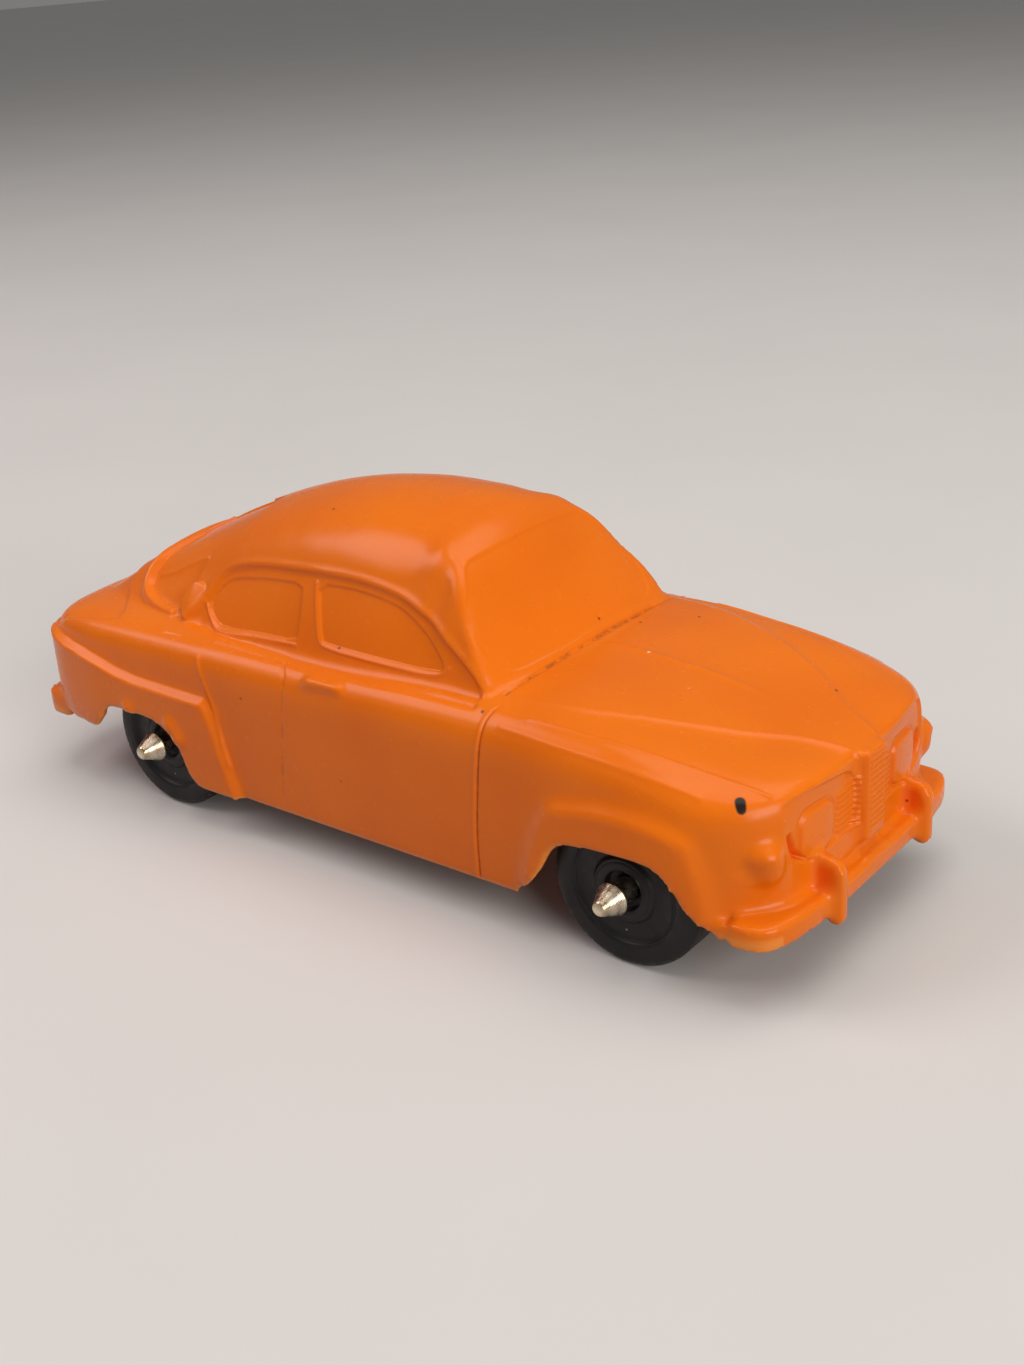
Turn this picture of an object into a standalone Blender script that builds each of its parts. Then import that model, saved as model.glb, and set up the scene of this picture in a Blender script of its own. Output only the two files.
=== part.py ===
"""Toy saloon car: a hollow soft-vinyl body shell on two turned axles with four one-piece wheels.

The car stands on z = 0 and faces +X, with its left side at +Y. It is drawn about the middle of the
wheelbase, and at the end everything is moved so that the origin lies under the middle of its length.
Driving dimensions are in millimetres and MM turns them into Blender's metres.
"""

import math

import bmesh
import bpy
import numpy as np
from mathutils import Matrix, Vector

MM = 0.001

# Running gear
WHEELBASE = 58.1
WHEEL_RADIUS = 7.5
WHEEL_WIDTH = 5.0
WHEEL_OUTER_FACE = 16.2
TYRE_ROUNDING = 0.7
TYRE_BAND = 6.9
TYRE_EDGE = (0.2, 0.25)
RIM_RADIUS = 5.0
RIM_BEVEL = (0.35, 0.1)
HUB_RADIUS = 2.8
HUB_SLOPE = 0.3
DISH_DEPTH = 0.5
COUNTERBORE_RADIUS = 1.9
COUNTERBORE_DEPTH = 0.8
WHEEL_STEPS = 36
AXLE_STEPS = 24
BORE_SEGMENTS = 24
SHAFT_RADIUS = 1.1
WHEEL_BORE_RADIUS = 1.19
BEARING_BORE_RADIUS = 1.22
BEARING_REACH = 12.5
HEAD_SHOULDER = 17.7
HEAD_RADIUS = 1.55
HEAD_TIP_RADIUS = 0.6
HEAD_TIP = 19.8
HEAD_BAND = 0.25
AXLE_X = WHEELBASE / 2

# Each wheel stands on one of its flats, which puts the axle a little lower than the tyre's radius
AXLE_Z = WHEEL_RADIUS * math.cos(math.pi / WHEEL_STEPS)

# The middle of the overall length lies this far behind the middle of the wheelbase
LENGTH_OFFSET = 2.15

# Body shell
WALL = 1.3
GLASS_RELIEF = 0.5
PANEL_RELIEF = 0.3
SILL_TUCK = 0.35
CAVITY_FLOOR = -1.0
WIDEST_Z = 12.0
SHOULDER_TURN = 0.875
SHOULDER_STEPS = 4
BOW_HALF_WIDTH = 14.0
CABIN_SIDE_BOW = 0.35
CABIN_FOOT = 3.0
SHARP_ANGLE = math.radians(32)
FACING_FORWARD = Matrix(((0, 0, 1, 0), (1, 0, 0, 0), (0, 1, 0, 0), (0, 0, 0, 1)))

# Stations along the car where the lofts have their sections
BODY_STATIONS = [-48.3, -47.8, -46.6, -44.6, -41.5, -38, -34.5, -31, -27.5, -24, -21.4, -19.8, -18.6, -17.4, -12, -5,
                 3, 11, 15, 18, 20.5, 23, 26, 29.5, 33, 36, 38.4, 40, 41.4, 42.6, 43.3, 43.7]
CABIN_STATIONS = [-46.5, -43, -39.5, -36, -32.5, -29, -25.5, -22, -18.5, -15, -11.5, -8, -4.5, -1, 2, 4.6, 6.4, 8,
                  9.6, 11.2, 12.8, 14.4, 16.2, 18]

# Curves along the car, as (x, value) points
BODY_HALF_WIDTH = [(-48.3, 12.8), (-47.8, 14.2), (-46.8, 15.3), (-45, 16.3), (-42, 17.0), (-36, 17.5),
                   (-20, 17.6), (15, 17.6), (30, 17.7), (36, 17.4), (38.6, 16.9), (40.6, 16.0),
                   (42.2, 14.7), (43.2, 13.3), (43.7, 12.2)]
BODY_TOP = [(-48.3, 17.8), (-47.6, 18.6), (-46, 19.4), (-42, 20.1), (-30, 20.6), (-10, 21.2), (10, 22.0),
            (20, 22.1), (27, 21.7), (32, 21.0), (38, 19.8), (42, 18.9), (43.2, 18.5), (43.7, 18.1)]
BODY_BOTTOM = [(-48.3, 7.6), (-38, 7.6), (-22, 4.4), (18, 4.4), (37, 6.7), (43.7, 7.0)]
BODY_SQUARENESS = [(-48.3, 7.5), (-30, 7.0), (0, 6.2), (17, 6.2), (26, 5.4), (38, 5.2), (43.7, 6.5)]
CABIN_TOP = [(-46.5, 18.6), (-44, 20.4), (-41, 22.2), (-38, 23.9), (-34, 26.0), (-30, 28.0), (-25, 30.1),
             (-20, 31.9), (-15, 33.3), (-10, 34.2), (-4, 34.7), (1, 34.6), (5, 33.8), (8, 32.0),
             (12, 27.0), (16.2, 21.7), (18, 19.4)]
CABIN_BELT_Y = [(-46.5, 10.6), (-41, 11.4), (-36, 12.2), (-28, 13.3), (-18, 14.4), (-5, 14.9), (8, 14.8),
                (14.8, 14.1), (18, 13.6)]
CABIN_BELT_Z = [(-46.5, 18.0), (-38, 19.3), (-20, 19.8), (5, 20.3), (18, 19.0)]
CABIN_CORNER_Y = [(-46.5, 8.6), (-41, 8.8), (-36, 8.6), (-28, 8.6), (-20, 9.0), (-10, 9.8), (0, 10.0),
                  (7, 9.6), (10, 11.2), (14.8, 13.9), (18, 13.4)]
CABIN_CORNER_DROP = [(-46.5, 0.3), (-40, 0.5), (-34, 1.2), (-25, 2.2), (-10, 3.0), (2, 2.8), (7, 0.9),
                     (10, 0.4), (18, 0.2)]
CABIN_CORNER_ROUND = [(-46.5, 0.8), (-40, 1.4), (-30, 3.0), (-10, 4.2), (0, 4.0), (6, 2.2), (10, 1.2),
                      (18, 0.6)]
NOSE_BOW = [(-48.3, -0.9), (-38, 0.0), (0, 0.0), (30, 0.0), (43.7, 1.1)]
SCREEN_BOW = [(-46.5, -1.5), (-30, 0.0), (0, 0.0), (8, 1.4), (18, 1.6)]

# Wings: flared panels round the wheels. The line is their upper edge as (x, z), the ends are (z, x)
WING_LINE = [(-48, 18.2), (-43.2, 17.3), (-39.3, 16.8), (-35.9, 16.2), (-33, 15.6), (-29.8, 15.3), (-20, 15.2),
             (0, 15.4), (20, 15.6), (24.5, 16.2), (27.7, 16.8), (30.7, 17.0), (33.5, 16.8), (36.2, 16.2),
             (39, 15.2), (43.7, 13.6)]
WING_LEDGE = 0.9
HIGHEST_WING_LINE = 0.8
WING_ROOT = 0.8
REAR_WING_SWELL = 0.9
REAR_WING_BACK = -49.0
REAR_WING_FRONT = [(5, -16.6), (8.1, -17.3), (10.8, -18.0), (13, -18.7), (16, -20.5)]
FRONT_WING_SWELL = 0.75
FRONT_WING_SLOPE = 1.8
FRONT_WING_BACK = [(4, 18.0), (8, 18.8), (12, 20.2), (15, 22.0), (17, 24.5)]
FRONT_WING_FRONT = [(6, 40.6), (9.6, 40.2), (12, 39.6), (14.4, 38.6), (17, 36.5)]

# Creases of the bonnet, from the corners of the windscreen to the grille, as (x, y), and the hollow beside them
BONNET_CREASE = [(-48.3, 9.0), (-30, 12.5), (10, 13.6), (14.6, 13.6), (21, 12.8), (27.7, 10.7), (35.3, 6.9),
                 (39.3, 3.9), (43.7, 1.9)]
BONNET_HOLLOW = 0.28
HOLLOW_WIDTH = 1.3
BONNET_FROM_X = 14.0
BONNET_FADE = 4.0

# Wheel arches, as (x, z) outlines
FRONT_ARCH = [(17.2, 1.0), (17.9, 4.5), (20.2, 6.3), (21.8, 8.2), (22.8, 10.4), (24.2, 11.6), (28.0, 12.0),
              (32.2, 12.2), (34.2, 11.6), (35.4, 10.0), (36.4, 8.2), (37.6, 7.1), (39.0, 6.4), (39.4, 1.0)]
REAR_ARCH = [(-21.0, 1.0), (-22.0, 4.3), (-23.6, 5.2), (-24.3, 7.2), (-24.9, 9.0), (-26.4, 10.2),
             (-28.6, 11.0), (-32.0, 11.1), (-34.6, 11.0), (-36.0, 10.4), (-37.0, 9.0), (-38.4, 7.6),
             (-39.6, 5.6), (-39.8, 1.0)]
ARCH_INNER_Y = 11.0
BEYOND_THE_SIDES = 22.0
ABOVE_THE_ROOF = 36.0

# Panels sunk by PANEL_RELIEF: the whole glazed side (x, z) and the windscreen (y, z)
SIDE_PANEL = [(-24.4, 22.8), (-23.6, 24.4), (-22.3, 25.9), (-19.7, 26.8), (-15.7, 27.5), (-9.0, 28.2), (-3.0, 28.4),
              (0.9, 28.1), (3.5, 27.5), (6.2, 26.5), (9.1, 24.7), (11.4, 22.8), (11.6, 21.9), (-8.0, 21.2),
              (-22.8, 20.9)]
WINDSCREEN = [(0.0, 23.0), (9.6, 22.7), (11.6, 22.9), (12.4, 23.6), (12.3, 24.8), (9.8, 30.0), (9.0, 31.0),
              (7.6, 31.4), (0.0, 31.8)]
WINDSCREEN_X = 13.0
WINDSCREEN_DEPTH = 20.0

# Panes sunk by GLASS_RELIEF: side glass (x, z) and rear window (x, y)
FRONT_SIDE_GLASS = [(-8.3, 27.2), (-6.7, 22.8), (-6.1, 22.4), (7.6, 22.4), (8.5, 23.0), (6.6, 24.8), (4.6, 26.1),
                    (1.8, 27.1), (-1.0, 27.5), (-4.6, 27.6)]
REAR_SIDE_GLASS = [(-23.6, 22.6), (-22.5, 21.5), (-21.0, 21.2), (-10.1, 22.0), (-9.9, 23.0), (-10.7, 27.0),
                   (-15.2, 26.6), (-19.9, 25.8), (-21.8, 25.2), (-23.0, 24.0)]
REAR_WINDOW = [(-22.6, 0.0), (-22.9, 7.6), (-25.8, 9.0), (-26.8, 10.4), (-27.9, 12.2), (-29.1, 12.5), (-34.0, 11.3),
               (-35.3, 10.2), (-35.5, 8.8), (-35.2, 0.0)]
ABOVE_THE_DECK = 20.9

# Nose and bumpers
BUMPER_DEPTH = 2.6
BUMPER_STEPS = 8
BUMPER_ENDS_FROM = 13.5
BUMPER_ENDS_TO = 17.0
FRONT_BUMPER_REACH = 45.3
FRONT_BUMPER_HALF_WIDTH = 17.6
FRONT_BUMPER_WRAP = 5.0
FRONT_BUMPER_LOW = 6.4
FRONT_BUMPER_HIGH = 8.5
FRONT_BUMPER_RISE = 0.6
REAR_BUMPER_REACH = -49.8
REAR_BUMPER_HALF_WIDTH = 17.0
REAR_BUMPER_WRAP = 5.4
REAR_BUMPER_LOW = 6.9
REAR_BUMPER_HIGH = 9.5
OVERRIDER_Y = 8.65
OVERRIDER_WIDTH = 3.1
FRONT_OVERRIDER = [(44.0, 6.8), (45.6, 6.6), (46.2, 7.4), (46.4, 9.6), (46.0, 11.2), (45.3, 12.1), (44.4, 12.4),
                   (43.0, 12.3), (43.0, 11.6), (44.2, 11.4), (44.9, 10.8), (45.1, 10.0), (45.1, 8.3), (44.0, 8.2)]
REAR_OVERRIDER = [(-48.6, 6.2), (-50.0, 6.0), (-50.7, 7.2), (-50.6, 10.0), (-50.0, 11.4), (-49.2, 11.8),
                  (-48.4, 11.4)]
GRILLE_BLOCK = ((42.6, -1.75, 9.8), (44.7, 1.75, 18.3))
BLOCK_ROUNDING = 0.25
BLOCK_BARS = 10
BLOCK_BAR_PITCH = 0.72
BLOCK_BAR_FROM_Z = 10.7
BLOCK_BAR_HALF_WIDTH = 1.4
BLOCK_BAR_PROUD = 0.2
BAR_HEIGHT = 0.3
BAR_ROOT = 0.5
SLATS = 7
SLAT_PITCH = 0.62
SLAT_FRONT_X = 44.1
SLAT_ROOT_X = 42.8
SLAT_FROM_Y = 1.6
SLAT_TO_Y = 4.9
SLAT_LOW_Z = 11.5
LAMP_Y = 8.1
LAMP_Z = 13.65
LAMP_WIDTH = 4.9
LAMP_HEIGHT = 4.3
LAMP_CORNER = 1.2
LAMP_FACE_X = 43.7
LAMP_THICKNESS = 1.6
LAMP_EDGE = 0.3
LAMP_TURN = math.radians(4.5)
POCKET = [(9.9, 11.7), (11.4, 12.1), (12.1, 14.4), (11.5, 14.7), (10.9, 13.2)]
POCKET_DEPTH = 0.8
POCKET_FACE_X = 43.05

# Raised marks on both sides: ellipsoids given by their middles and radii
TURN_LAMP = ((40.9, 14.1, 13.7), (2.0, 1.3, 1.15))
TAIL_LAMP = ((-47.3, 11.6, 13.6), (1.3, 1.5, 2.3))
AIR_VENT = ((-26.3, 11.7, 22.2), (1.9, 0.85, 1.8))
HANDLE = [(-6.7, 19.3), (-6.0, 20.1), (-2.1, 20.2), (-1.5, 20.0), (-1.7, 19.5), (-6.3, 19.2)]
HANDLE_FROM_Y = 15.6
HANDLE_TO_Y = 17.35

# Bearing webs inside the shell, one each side of both axles
WEB_FROM_Y = 8.4
WEB_TO_Y = 10.6
WEB_HALF_LENGTH = 4.6
WEB_EYE_RADIUS = 3.0
WEB_EYE_STEPS = 9
WEB_EYE_FROM = math.radians(20)
WEB_EYE_TO = math.radians(-200)
WEB_SHOULDER_Z = 13.0
WEB_TOP_Z = 32.0


def smooth_value(points, x):
    """Value at x on a smooth curve through (x, value) points that never overshoots them."""
    xs = np.array([p[0] for p in points], float)
    ys = np.array([p[1] for p in points], float)
    step = np.diff(xs)
    slope = np.diff(ys) / step
    tangent = np.zeros(len(xs))
    tangent[0] = slope[0]
    tangent[-1] = slope[-1]
    for i in range(1, len(xs) - 1):
        if slope[i - 1] * slope[i] > 0:
            tangent[i] = 2 * slope[i - 1] * slope[i] / (slope[i - 1] + slope[i])
    x = min(max(x, xs[0]), xs[-1])
    i = min(int(np.searchsorted(xs, x, side="right")) - 1, len(xs) - 2)
    t = (x - xs[i]) / step[i]
    return float((2 * t**3 - 3 * t**2 + 1) * ys[i] + (t**3 - 2 * t**2 + t) * step[i] * tangent[i]
                 + (3 * t**2 - 2 * t**3) * ys[i + 1] + (t**3 - t**2) * step[i] * tangent[i + 1])


def ramp(start, end, value):
    """0 at start, 1 at end and an easy curve between; start may be the larger of the two."""
    t = min(max((value - start) / (end - start), 0.0), 1.0)
    return t * t * (3 - 2 * t)


def spread(first, last, count):
    """Evenly spaced values from first to last."""
    return [first + (last - first) * k / (count - 1) for k in range(count)]


def wing_swell(x, z):
    """How far the wings stand proud of the doors at (x, z) on the side of the body."""
    below = smooth_value(WING_LINE, x) - z
    rear = min(below, smooth_value(REAR_WING_FRONT, z) - x, x - REAR_WING_BACK)
    front = min(below, x - smooth_value(FRONT_WING_BACK, z), smooth_value(FRONT_WING_FRONT, z) - x)
    ledge = min(max(rear / WING_LEDGE, 0.0), 1.0)
    return REAR_WING_SWELL * ledge + FRONT_WING_SWELL * ramp(0.0, FRONT_WING_SLOPE, front)


def body_half_section(x, inset):
    """Half outline of the lower body at x, from the middle of the underside up to the middle of the top."""
    half = smooth_value(BODY_HALF_WIDTH, x) - inset
    rise = smooth_value(BODY_TOP, x) - inset - WIDEST_Z
    bottom = CAVITY_FLOOR if inset else smooth_value(BODY_BOTTOM, x)
    power = smooth_value(BODY_SQUARENESS, x)
    foot = half - SILL_TUCK
    points = [(0.0, bottom), (foot * 0.6, bottom), (foot, bottom)]
    for s in (0.35, 0.7):
        points.append((half - SILL_TUCK * (1 - s) ** 2, bottom + s * (WIDEST_Z - bottom)))
    # The side and the shoulder follow a superellipse, with points on both edges of the wings' ledge
    line = min(smooth_value(WING_LINE, x), WIDEST_Z + HIGHEST_WING_LINE * rise)
    turn = math.acos(SHOULDER_TURN ** (power / 2))
    start = math.asin(((line - WIDEST_Z) / rise) ** (power / 2))
    for z in (WIDEST_Z, line - WING_LEDGE):
        points.append((half * (1 - ((z - WIDEST_Z) / rise) ** power) ** (1 / power), z))
    for angle in spread(start, turn, SHOULDER_STEPS + 1):
        points.append((half * math.cos(angle) ** (2 / power), WIDEST_Z + rise * math.sin(angle) ** (2 / power)))
    # The top has points on the crease of the bonnet and in the hollow outside it
    crease = smooth_value(BONNET_CREASE, x)
    valley = crease + HOLLOW_WIDTH
    edge = points[-1][0]
    hollow = BONNET_HOLLOW * ramp(BONNET_FROM_X, BONNET_FROM_X + BONNET_FADE, x)
    for y in (edge + (valley - edge) * 0.3, edge + (valley - edge) * 0.65, valley, crease, 0.0):
        z = WIDEST_Z + rise * (1 - (y / half) ** power) ** (1 / power)
        points.append((y, z - hollow if y == valley else z))
    return [(y + wing_swell(x, z) if y > WING_ROOT * half else y, z) for y, z in points]


def cabin_half_section(x, inset):
    """Half outline of the greenhouse at x: leaning side, rounded roof rail and crowned roof."""
    belt_y = smooth_value(CABIN_BELT_Y, x) - inset
    top = smooth_value(CABIN_TOP, x) - inset
    corner_y = min(smooth_value(CABIN_CORNER_Y, x) - inset, belt_y - 0.2)
    drop = smooth_value(CABIN_CORNER_DROP, x)
    belt_z = min(smooth_value(CABIN_BELT_Z, x), top - drop - 0.5)
    side = Vector((corner_y - belt_y, top - drop - belt_z))
    blend = min(smooth_value(CABIN_CORNER_ROUND, x), 0.8 * side.length, 0.6 * corner_y)
    # The roof is a parabola from its middle down to the corner
    roof_y = corner_y - blend
    roof_z = top - drop * (roof_y / corner_y) ** 2
    slope = -2 * drop * roof_y / corner_y**2
    # The rail is rounded about the point where the side meets the roof's tangent
    lean = side.x / side.y
    handle_z = (roof_z + slope * (belt_y - lean * belt_z - roof_y)) / (1 - slope * lean)
    handle = Vector((belt_y + lean * (handle_z - belt_z), handle_z))
    start = handle - side.normalized() * blend
    if start.y < belt_z:
        start = Vector((belt_y, belt_z)) + side * 0.3
    finish = Vector((roof_y, roof_z))
    foot_z = belt_z - CABIN_FOOT
    points = [(0.0, foot_z), (belt_y * 0.6, foot_z), (belt_y, foot_z)]
    for s in spread(0.0, 0.75, 4):
        bow = CABIN_SIDE_BOW * math.sin(math.pi * s)
        points.append((belt_y + (start.x - belt_y) * s + bow, belt_z + (start.y - belt_z) * s))
    for t in spread(0.0, 5 / 6, 6):
        point = start * (1 - t) ** 2 + handle * (2 * t * (1 - t)) + finish * t * t
        points.append((point.x, point.y))
    for y in spread(roof_y, 0.0, 4):
        points.append((y, top - drop * (y / corner_y) ** 2))
    return points


def new_object(name, data, collection, finish=None):
    """Object in its collection; what goes in the cutters collection stays out of the model."""
    obj = bpy.data.objects.new(name, data)
    collection.objects.link(obj)
    if finish:
        data.materials.append(finish)
    if collection.name == "cutters":
        obj.hide_render = True
        obj.display_type = "WIRE"
    return obj


def finished(name, colour, roughness, metallic):
    """Principled material in one colour."""
    made = bpy.data.materials.new(name)
    made.use_nodes = True
    shader = made.node_tree.nodes["Principled BSDF"]
    shader.inputs["Base Color"].default_value = (*colour, 1.0)
    shader.inputs["Roughness"].default_value = roughness
    shader.inputs["Metallic"].default_value = metallic
    return made


def boolean(obj, other, operation):
    modifier = obj.modifiers.new(operation.lower() + " " + other.name, "BOOLEAN")
    modifier.operation = operation
    modifier.object = other
    modifier.solver = "EXACT"


def mirrored(obj):
    """Copy the left half to the right side of the car."""
    modifier = obj.modifiers.new("both sides", "MIRROR")
    modifier.use_axis = (False, True, False)
    modifier.merge_threshold = 0.00002


def thinned(points):
    """Every second point of a list, with both ends kept."""
    return points[:-1:2] + points[-1:]


def half_loft(name, stations, section, inset, bow, collection, finish=None):
    """Solid lofted along X through half sections, closed at both ends and mirrored to the other side."""
    # A loft inside the shell is shortened so that the end walls are as thick as the sides
    reach = max(abs(stations[0]), abs(stations[-1]))
    shorten = (reach - inset) / reach
    bm = bmesh.new()
    rings = []
    for x in stations:
        bend = smooth_value(bow, x)
        outline = section(x, inset)
        if inset >= WALL:
            outline = thinned(outline)
        ring = [Vector((x * shorten - bend * (y / BOW_HALF_WIDTH) ** 2, y, z)) * MM for y, z in outline]
        rings.append([bm.verts.new(point) for point in ring])
    for ring, following in zip(rings, rings[1:]):
        for i in range(len(ring) - 1):
            bm.faces.new((ring[i], following[i], following[i + 1], ring[i + 1]))
    for ring in (rings[0], rings[-1]):
        middle = Vector((ring[0].co.x, 0.0, (ring[0].co.z + ring[-1].co.z) / 2))
        centre = bm.verts.new(middle)
        inner = []
        for vert in ring:
            point = middle.lerp(vert.co, 0.55)
            point.x = middle.x + (vert.co.x - middle.x) * 0.3
            inner.append(bm.verts.new(point))
        for i in range(len(ring) - 1):
            bm.faces.new((ring[i + 1], inner[i + 1], inner[i], ring[i]))
            bm.faces.new((inner[i + 1], centre, inner[i]))
    bmesh.ops.recalc_face_normals(bm, faces=bm.faces)
    bmesh.ops.triangulate(bm, faces=bm.faces)
    mesh = bpy.data.meshes.new(name)
    bm.to_mesh(mesh)
    bm.free()
    obj = new_object(name, mesh, collection, finish)
    mirrored(obj)
    return obj


def box_mesh(bm, low, high):
    """Add a box between two corners, in millimetres, to a bmesh."""
    made = bmesh.ops.create_cube(bm, size=1.0)
    size = Vector(high) - Vector(low)
    middle = (Vector(high) + Vector(low)) / 2
    for vert in made["verts"]:
        vert.co = (vert.co * size + middle) * MM


def boxes(name, corners, collection, rounding=0.0):
    """One object of separate boxes, each given by two corners."""
    bm = bmesh.new()
    for low, high in corners:
        box_mesh(bm, low, high)
    mesh = bpy.data.meshes.new(name)
    bm.to_mesh(mesh)
    bm.free()
    obj = new_object(name, mesh, collection)
    if rounding:
        bevel = obj.modifiers.new("rounded edges", "BEVEL")
        bevel.width = rounding * MM
        bevel.segments = 2
    return obj


def mesh_from(obj):
    """Replace a curve object by a mesh object with welded caps."""
    bpy.context.view_layer.update()
    graph = bpy.context.evaluated_depsgraph_get()
    mesh = bpy.data.meshes.new_from_object(obj.evaluated_get(graph))
    bm = bmesh.new()
    bm.from_mesh(mesh)
    bmesh.ops.remove_doubles(bm, verts=bm.verts, dist=0.000005)
    bm.to_mesh(mesh)
    bm.free()
    name = obj.name
    matrix = obj.matrix_world.copy()
    collection = obj.users_collection[0]
    bpy.data.objects.remove(obj)
    solid = new_object(name, mesh, collection)
    solid.matrix_world = matrix
    return solid


def plate(name, outline, thickness, matrix, collection, edge=0.0):
    """Flat plate from a closed outline in its own XY plane, thickness across its Z, edges bevelled by edge."""
    curve = bpy.data.curves.new(name, "CURVE")
    curve.dimensions = "2D"
    curve.fill_mode = "BOTH"
    curve.extrude = (thickness / 2 - edge) * MM
    if edge:
        curve.bevel_depth = edge * MM
        curve.bevel_resolution = 0
        curve.offset = -edge * MM
    spline = curve.splines.new("POLY")
    spline.points.add(len(outline) - 1)
    for point, (u, v) in zip(spline.points, outline):
        point.co = (u * MM, v * MM, 0.0, 1.0)
    spline.use_cyclic_u = True
    obj = new_object(name, curve, collection)
    obj.matrix_world = matrix
    return mesh_from(obj)


def side_plate(name, outline, from_y, to_y, collection):
    """Plate drawn in side view as (x, z), as thick as from_y to to_y."""
    middle = Matrix.Translation(Vector((0.0, (from_y + to_y) / 2, 0.0)) * MM)
    return plate(name, outline, abs(to_y - from_y), middle @ Matrix.Rotation(math.pi / 2, 4, "X"), collection)


def flat_plate(name, outline, from_z, to_z, collection):
    """Plate drawn in plan as (x, y), as thick as from_z to to_z."""
    middle = Matrix.Translation(Vector((0.0, 0.0, (from_z + to_z) / 2)) * MM)
    return plate(name, outline, to_z - from_z, middle, collection)


def both_halves(outline):
    """Closed outline from its left half, whose first and last points lie on the centre line."""
    return outline + [(u, -v) for u, v in reversed(outline[1:-1])]


def rounded_rectangle(width, height, radius, steps=4):
    """Outline of a rectangle with round corners, about its own middle."""
    outline = []
    for corner in range(4):
        centre_u = (width / 2 - radius) * (1 if corner in (0, 3) else -1)
        centre_v = (height / 2 - radius) * (1 if corner in (0, 1) else -1)
        for k in range(steps + 1):
            angle = math.pi / 2 * (corner + k / steps)
            outline.append((centre_u + radius * math.cos(angle), centre_v + radius * math.sin(angle)))
    return outline


def turned(name, profile, steps, collection, finish):
    """Ring turned about its own Z axis from (radius, height) points, down the outside and up the bore."""
    bm = bmesh.new()
    verts = [bm.verts.new(Vector((radius, 0.0, height)) * MM) for radius, height in profile]
    for vert, following in zip(verts, verts[1:]):
        bm.edges.new((vert, following))
    if profile[0][0] > 0:
        bm.edges.new((verts[-1], verts[0]))
    mesh = bpy.data.meshes.new(name)
    bm.to_mesh(mesh)
    bm.free()
    obj = new_object(name, mesh, collection, finish)
    screw = obj.modifiers.new("turned", "SCREW")
    screw.axis = "Z"
    screw.steps = steps
    screw.render_steps = steps
    screw.use_merge_vertices = True
    screw.merge_threshold = 0.00002
    return obj


def cross_bar(name, radius, half_length, x, collection):
    """Round bar across the car on an axle line."""
    bm = bmesh.new()
    bmesh.ops.create_cone(bm, cap_ends=True, segments=BORE_SEGMENTS, radius1=radius * MM, radius2=radius * MM,
                          depth=2 * half_length * MM)
    mesh = bpy.data.meshes.new(name)
    bm.to_mesh(mesh)
    bm.free()
    obj = new_object(name, mesh, collection)
    obj.matrix_world = across(x, 0.0, 1)
    return obj


def across(x, y, side):
    """Place on an axle line with the piece's own Z pointing out to one side of the car."""
    return Matrix.Translation(Vector((x, y, AXLE_Z)) * MM) @ Matrix.Rotation(-side * math.pi / 2, 4, "X")


def bumps(name, mark, collection):
    """Pair of smooth bumps, one each side of the car."""
    middle, radii = mark
    bm = bmesh.new()
    bmesh.ops.create_uvsphere(bm, u_segments=12, v_segments=6, radius=1.0)
    for vert in bm.verts:
        vert.co = (vert.co * Vector(radii) + Vector(middle)) * MM
    mesh = bpy.data.meshes.new(name)
    bm.to_mesh(mesh)
    bm.free()
    obj = new_object(name, mesh, collection)
    mirrored(obj)
    return obj


def bumper(name, reach, half_width, wrap, low, high, rise, collection):
    """Bar that curves back round the corners and climbs by rise towards its ends."""
    sign = 1 if reach > 0 else -1
    outer = []
    inner = []
    for k in range(BUMPER_STEPS + 1):
        angle = math.pi / 2 * k / BUMPER_STEPS
        forward = math.cos(angle) ** 0.5
        outward = math.sin(angle) ** 0.5
        back = BUMPER_DEPTH + (wrap - BUMPER_DEPTH) * (1 - forward)
        outer.append((reach - sign * wrap * (1 - forward), half_width * outward))
        inner.append((reach - sign * back, (half_width - BUMPER_DEPTH) * outward))
    inner[-1] = (outer[-1][0], inner[-1][1])
    outline = both_halves(outer + list(reversed(inner)))
    bar = flat_plate(name, outline, low, high, collection)
    for vert in bar.data.vertices:
        vert.co.z += rise * ramp(BUMPER_ENDS_FROM, BUMPER_ENDS_TO, abs(vert.co.y) / MM) * MM
    return bar


def join_bumper(shell, end, bar, overrider, cutters):
    """Bumper with its pair of overriders."""
    boolean(shell, bar, "UNION")
    for side, label in ((1, "left"), (-1, "right")):
        inner = side * OVERRIDER_Y - OVERRIDER_WIDTH / 2
        over = side_plate(f"{end}_overrider_{label}", overrider, inner, inner + OVERRIDER_WIDTH, cutters)
        boolean(shell, over, "UNION")


def join_grille(shell, cutters):
    """Grille block with its bars, and the slats between it and the headlamps."""
    boolean(shell, boxes("grille_block", [GRILLE_BLOCK], cutters, BLOCK_ROUNDING), "UNION")
    front = GRILLE_BLOCK[1][0]
    bars = []
    for k in range(BLOCK_BARS):
        z = BLOCK_BAR_FROM_Z + k * BLOCK_BAR_PITCH
        low = (front - BAR_ROOT, -BLOCK_BAR_HALF_WIDTH, z)
        bars.append((low, (front + BLOCK_BAR_PROUD, BLOCK_BAR_HALF_WIDTH, z + BAR_HEIGHT)))
    for side in (1, -1):
        near, far = sorted((side * SLAT_FROM_Y, side * SLAT_TO_Y))
        for k in range(SLATS):
            z = SLAT_LOW_Z + k * SLAT_PITCH
            bars.append(((SLAT_ROOT_X, near, z), (SLAT_FRONT_X, far, z + BAR_HEIGHT)))
    boolean(shell, boxes("grille_bars", bars, cutters), "UNION")


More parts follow.
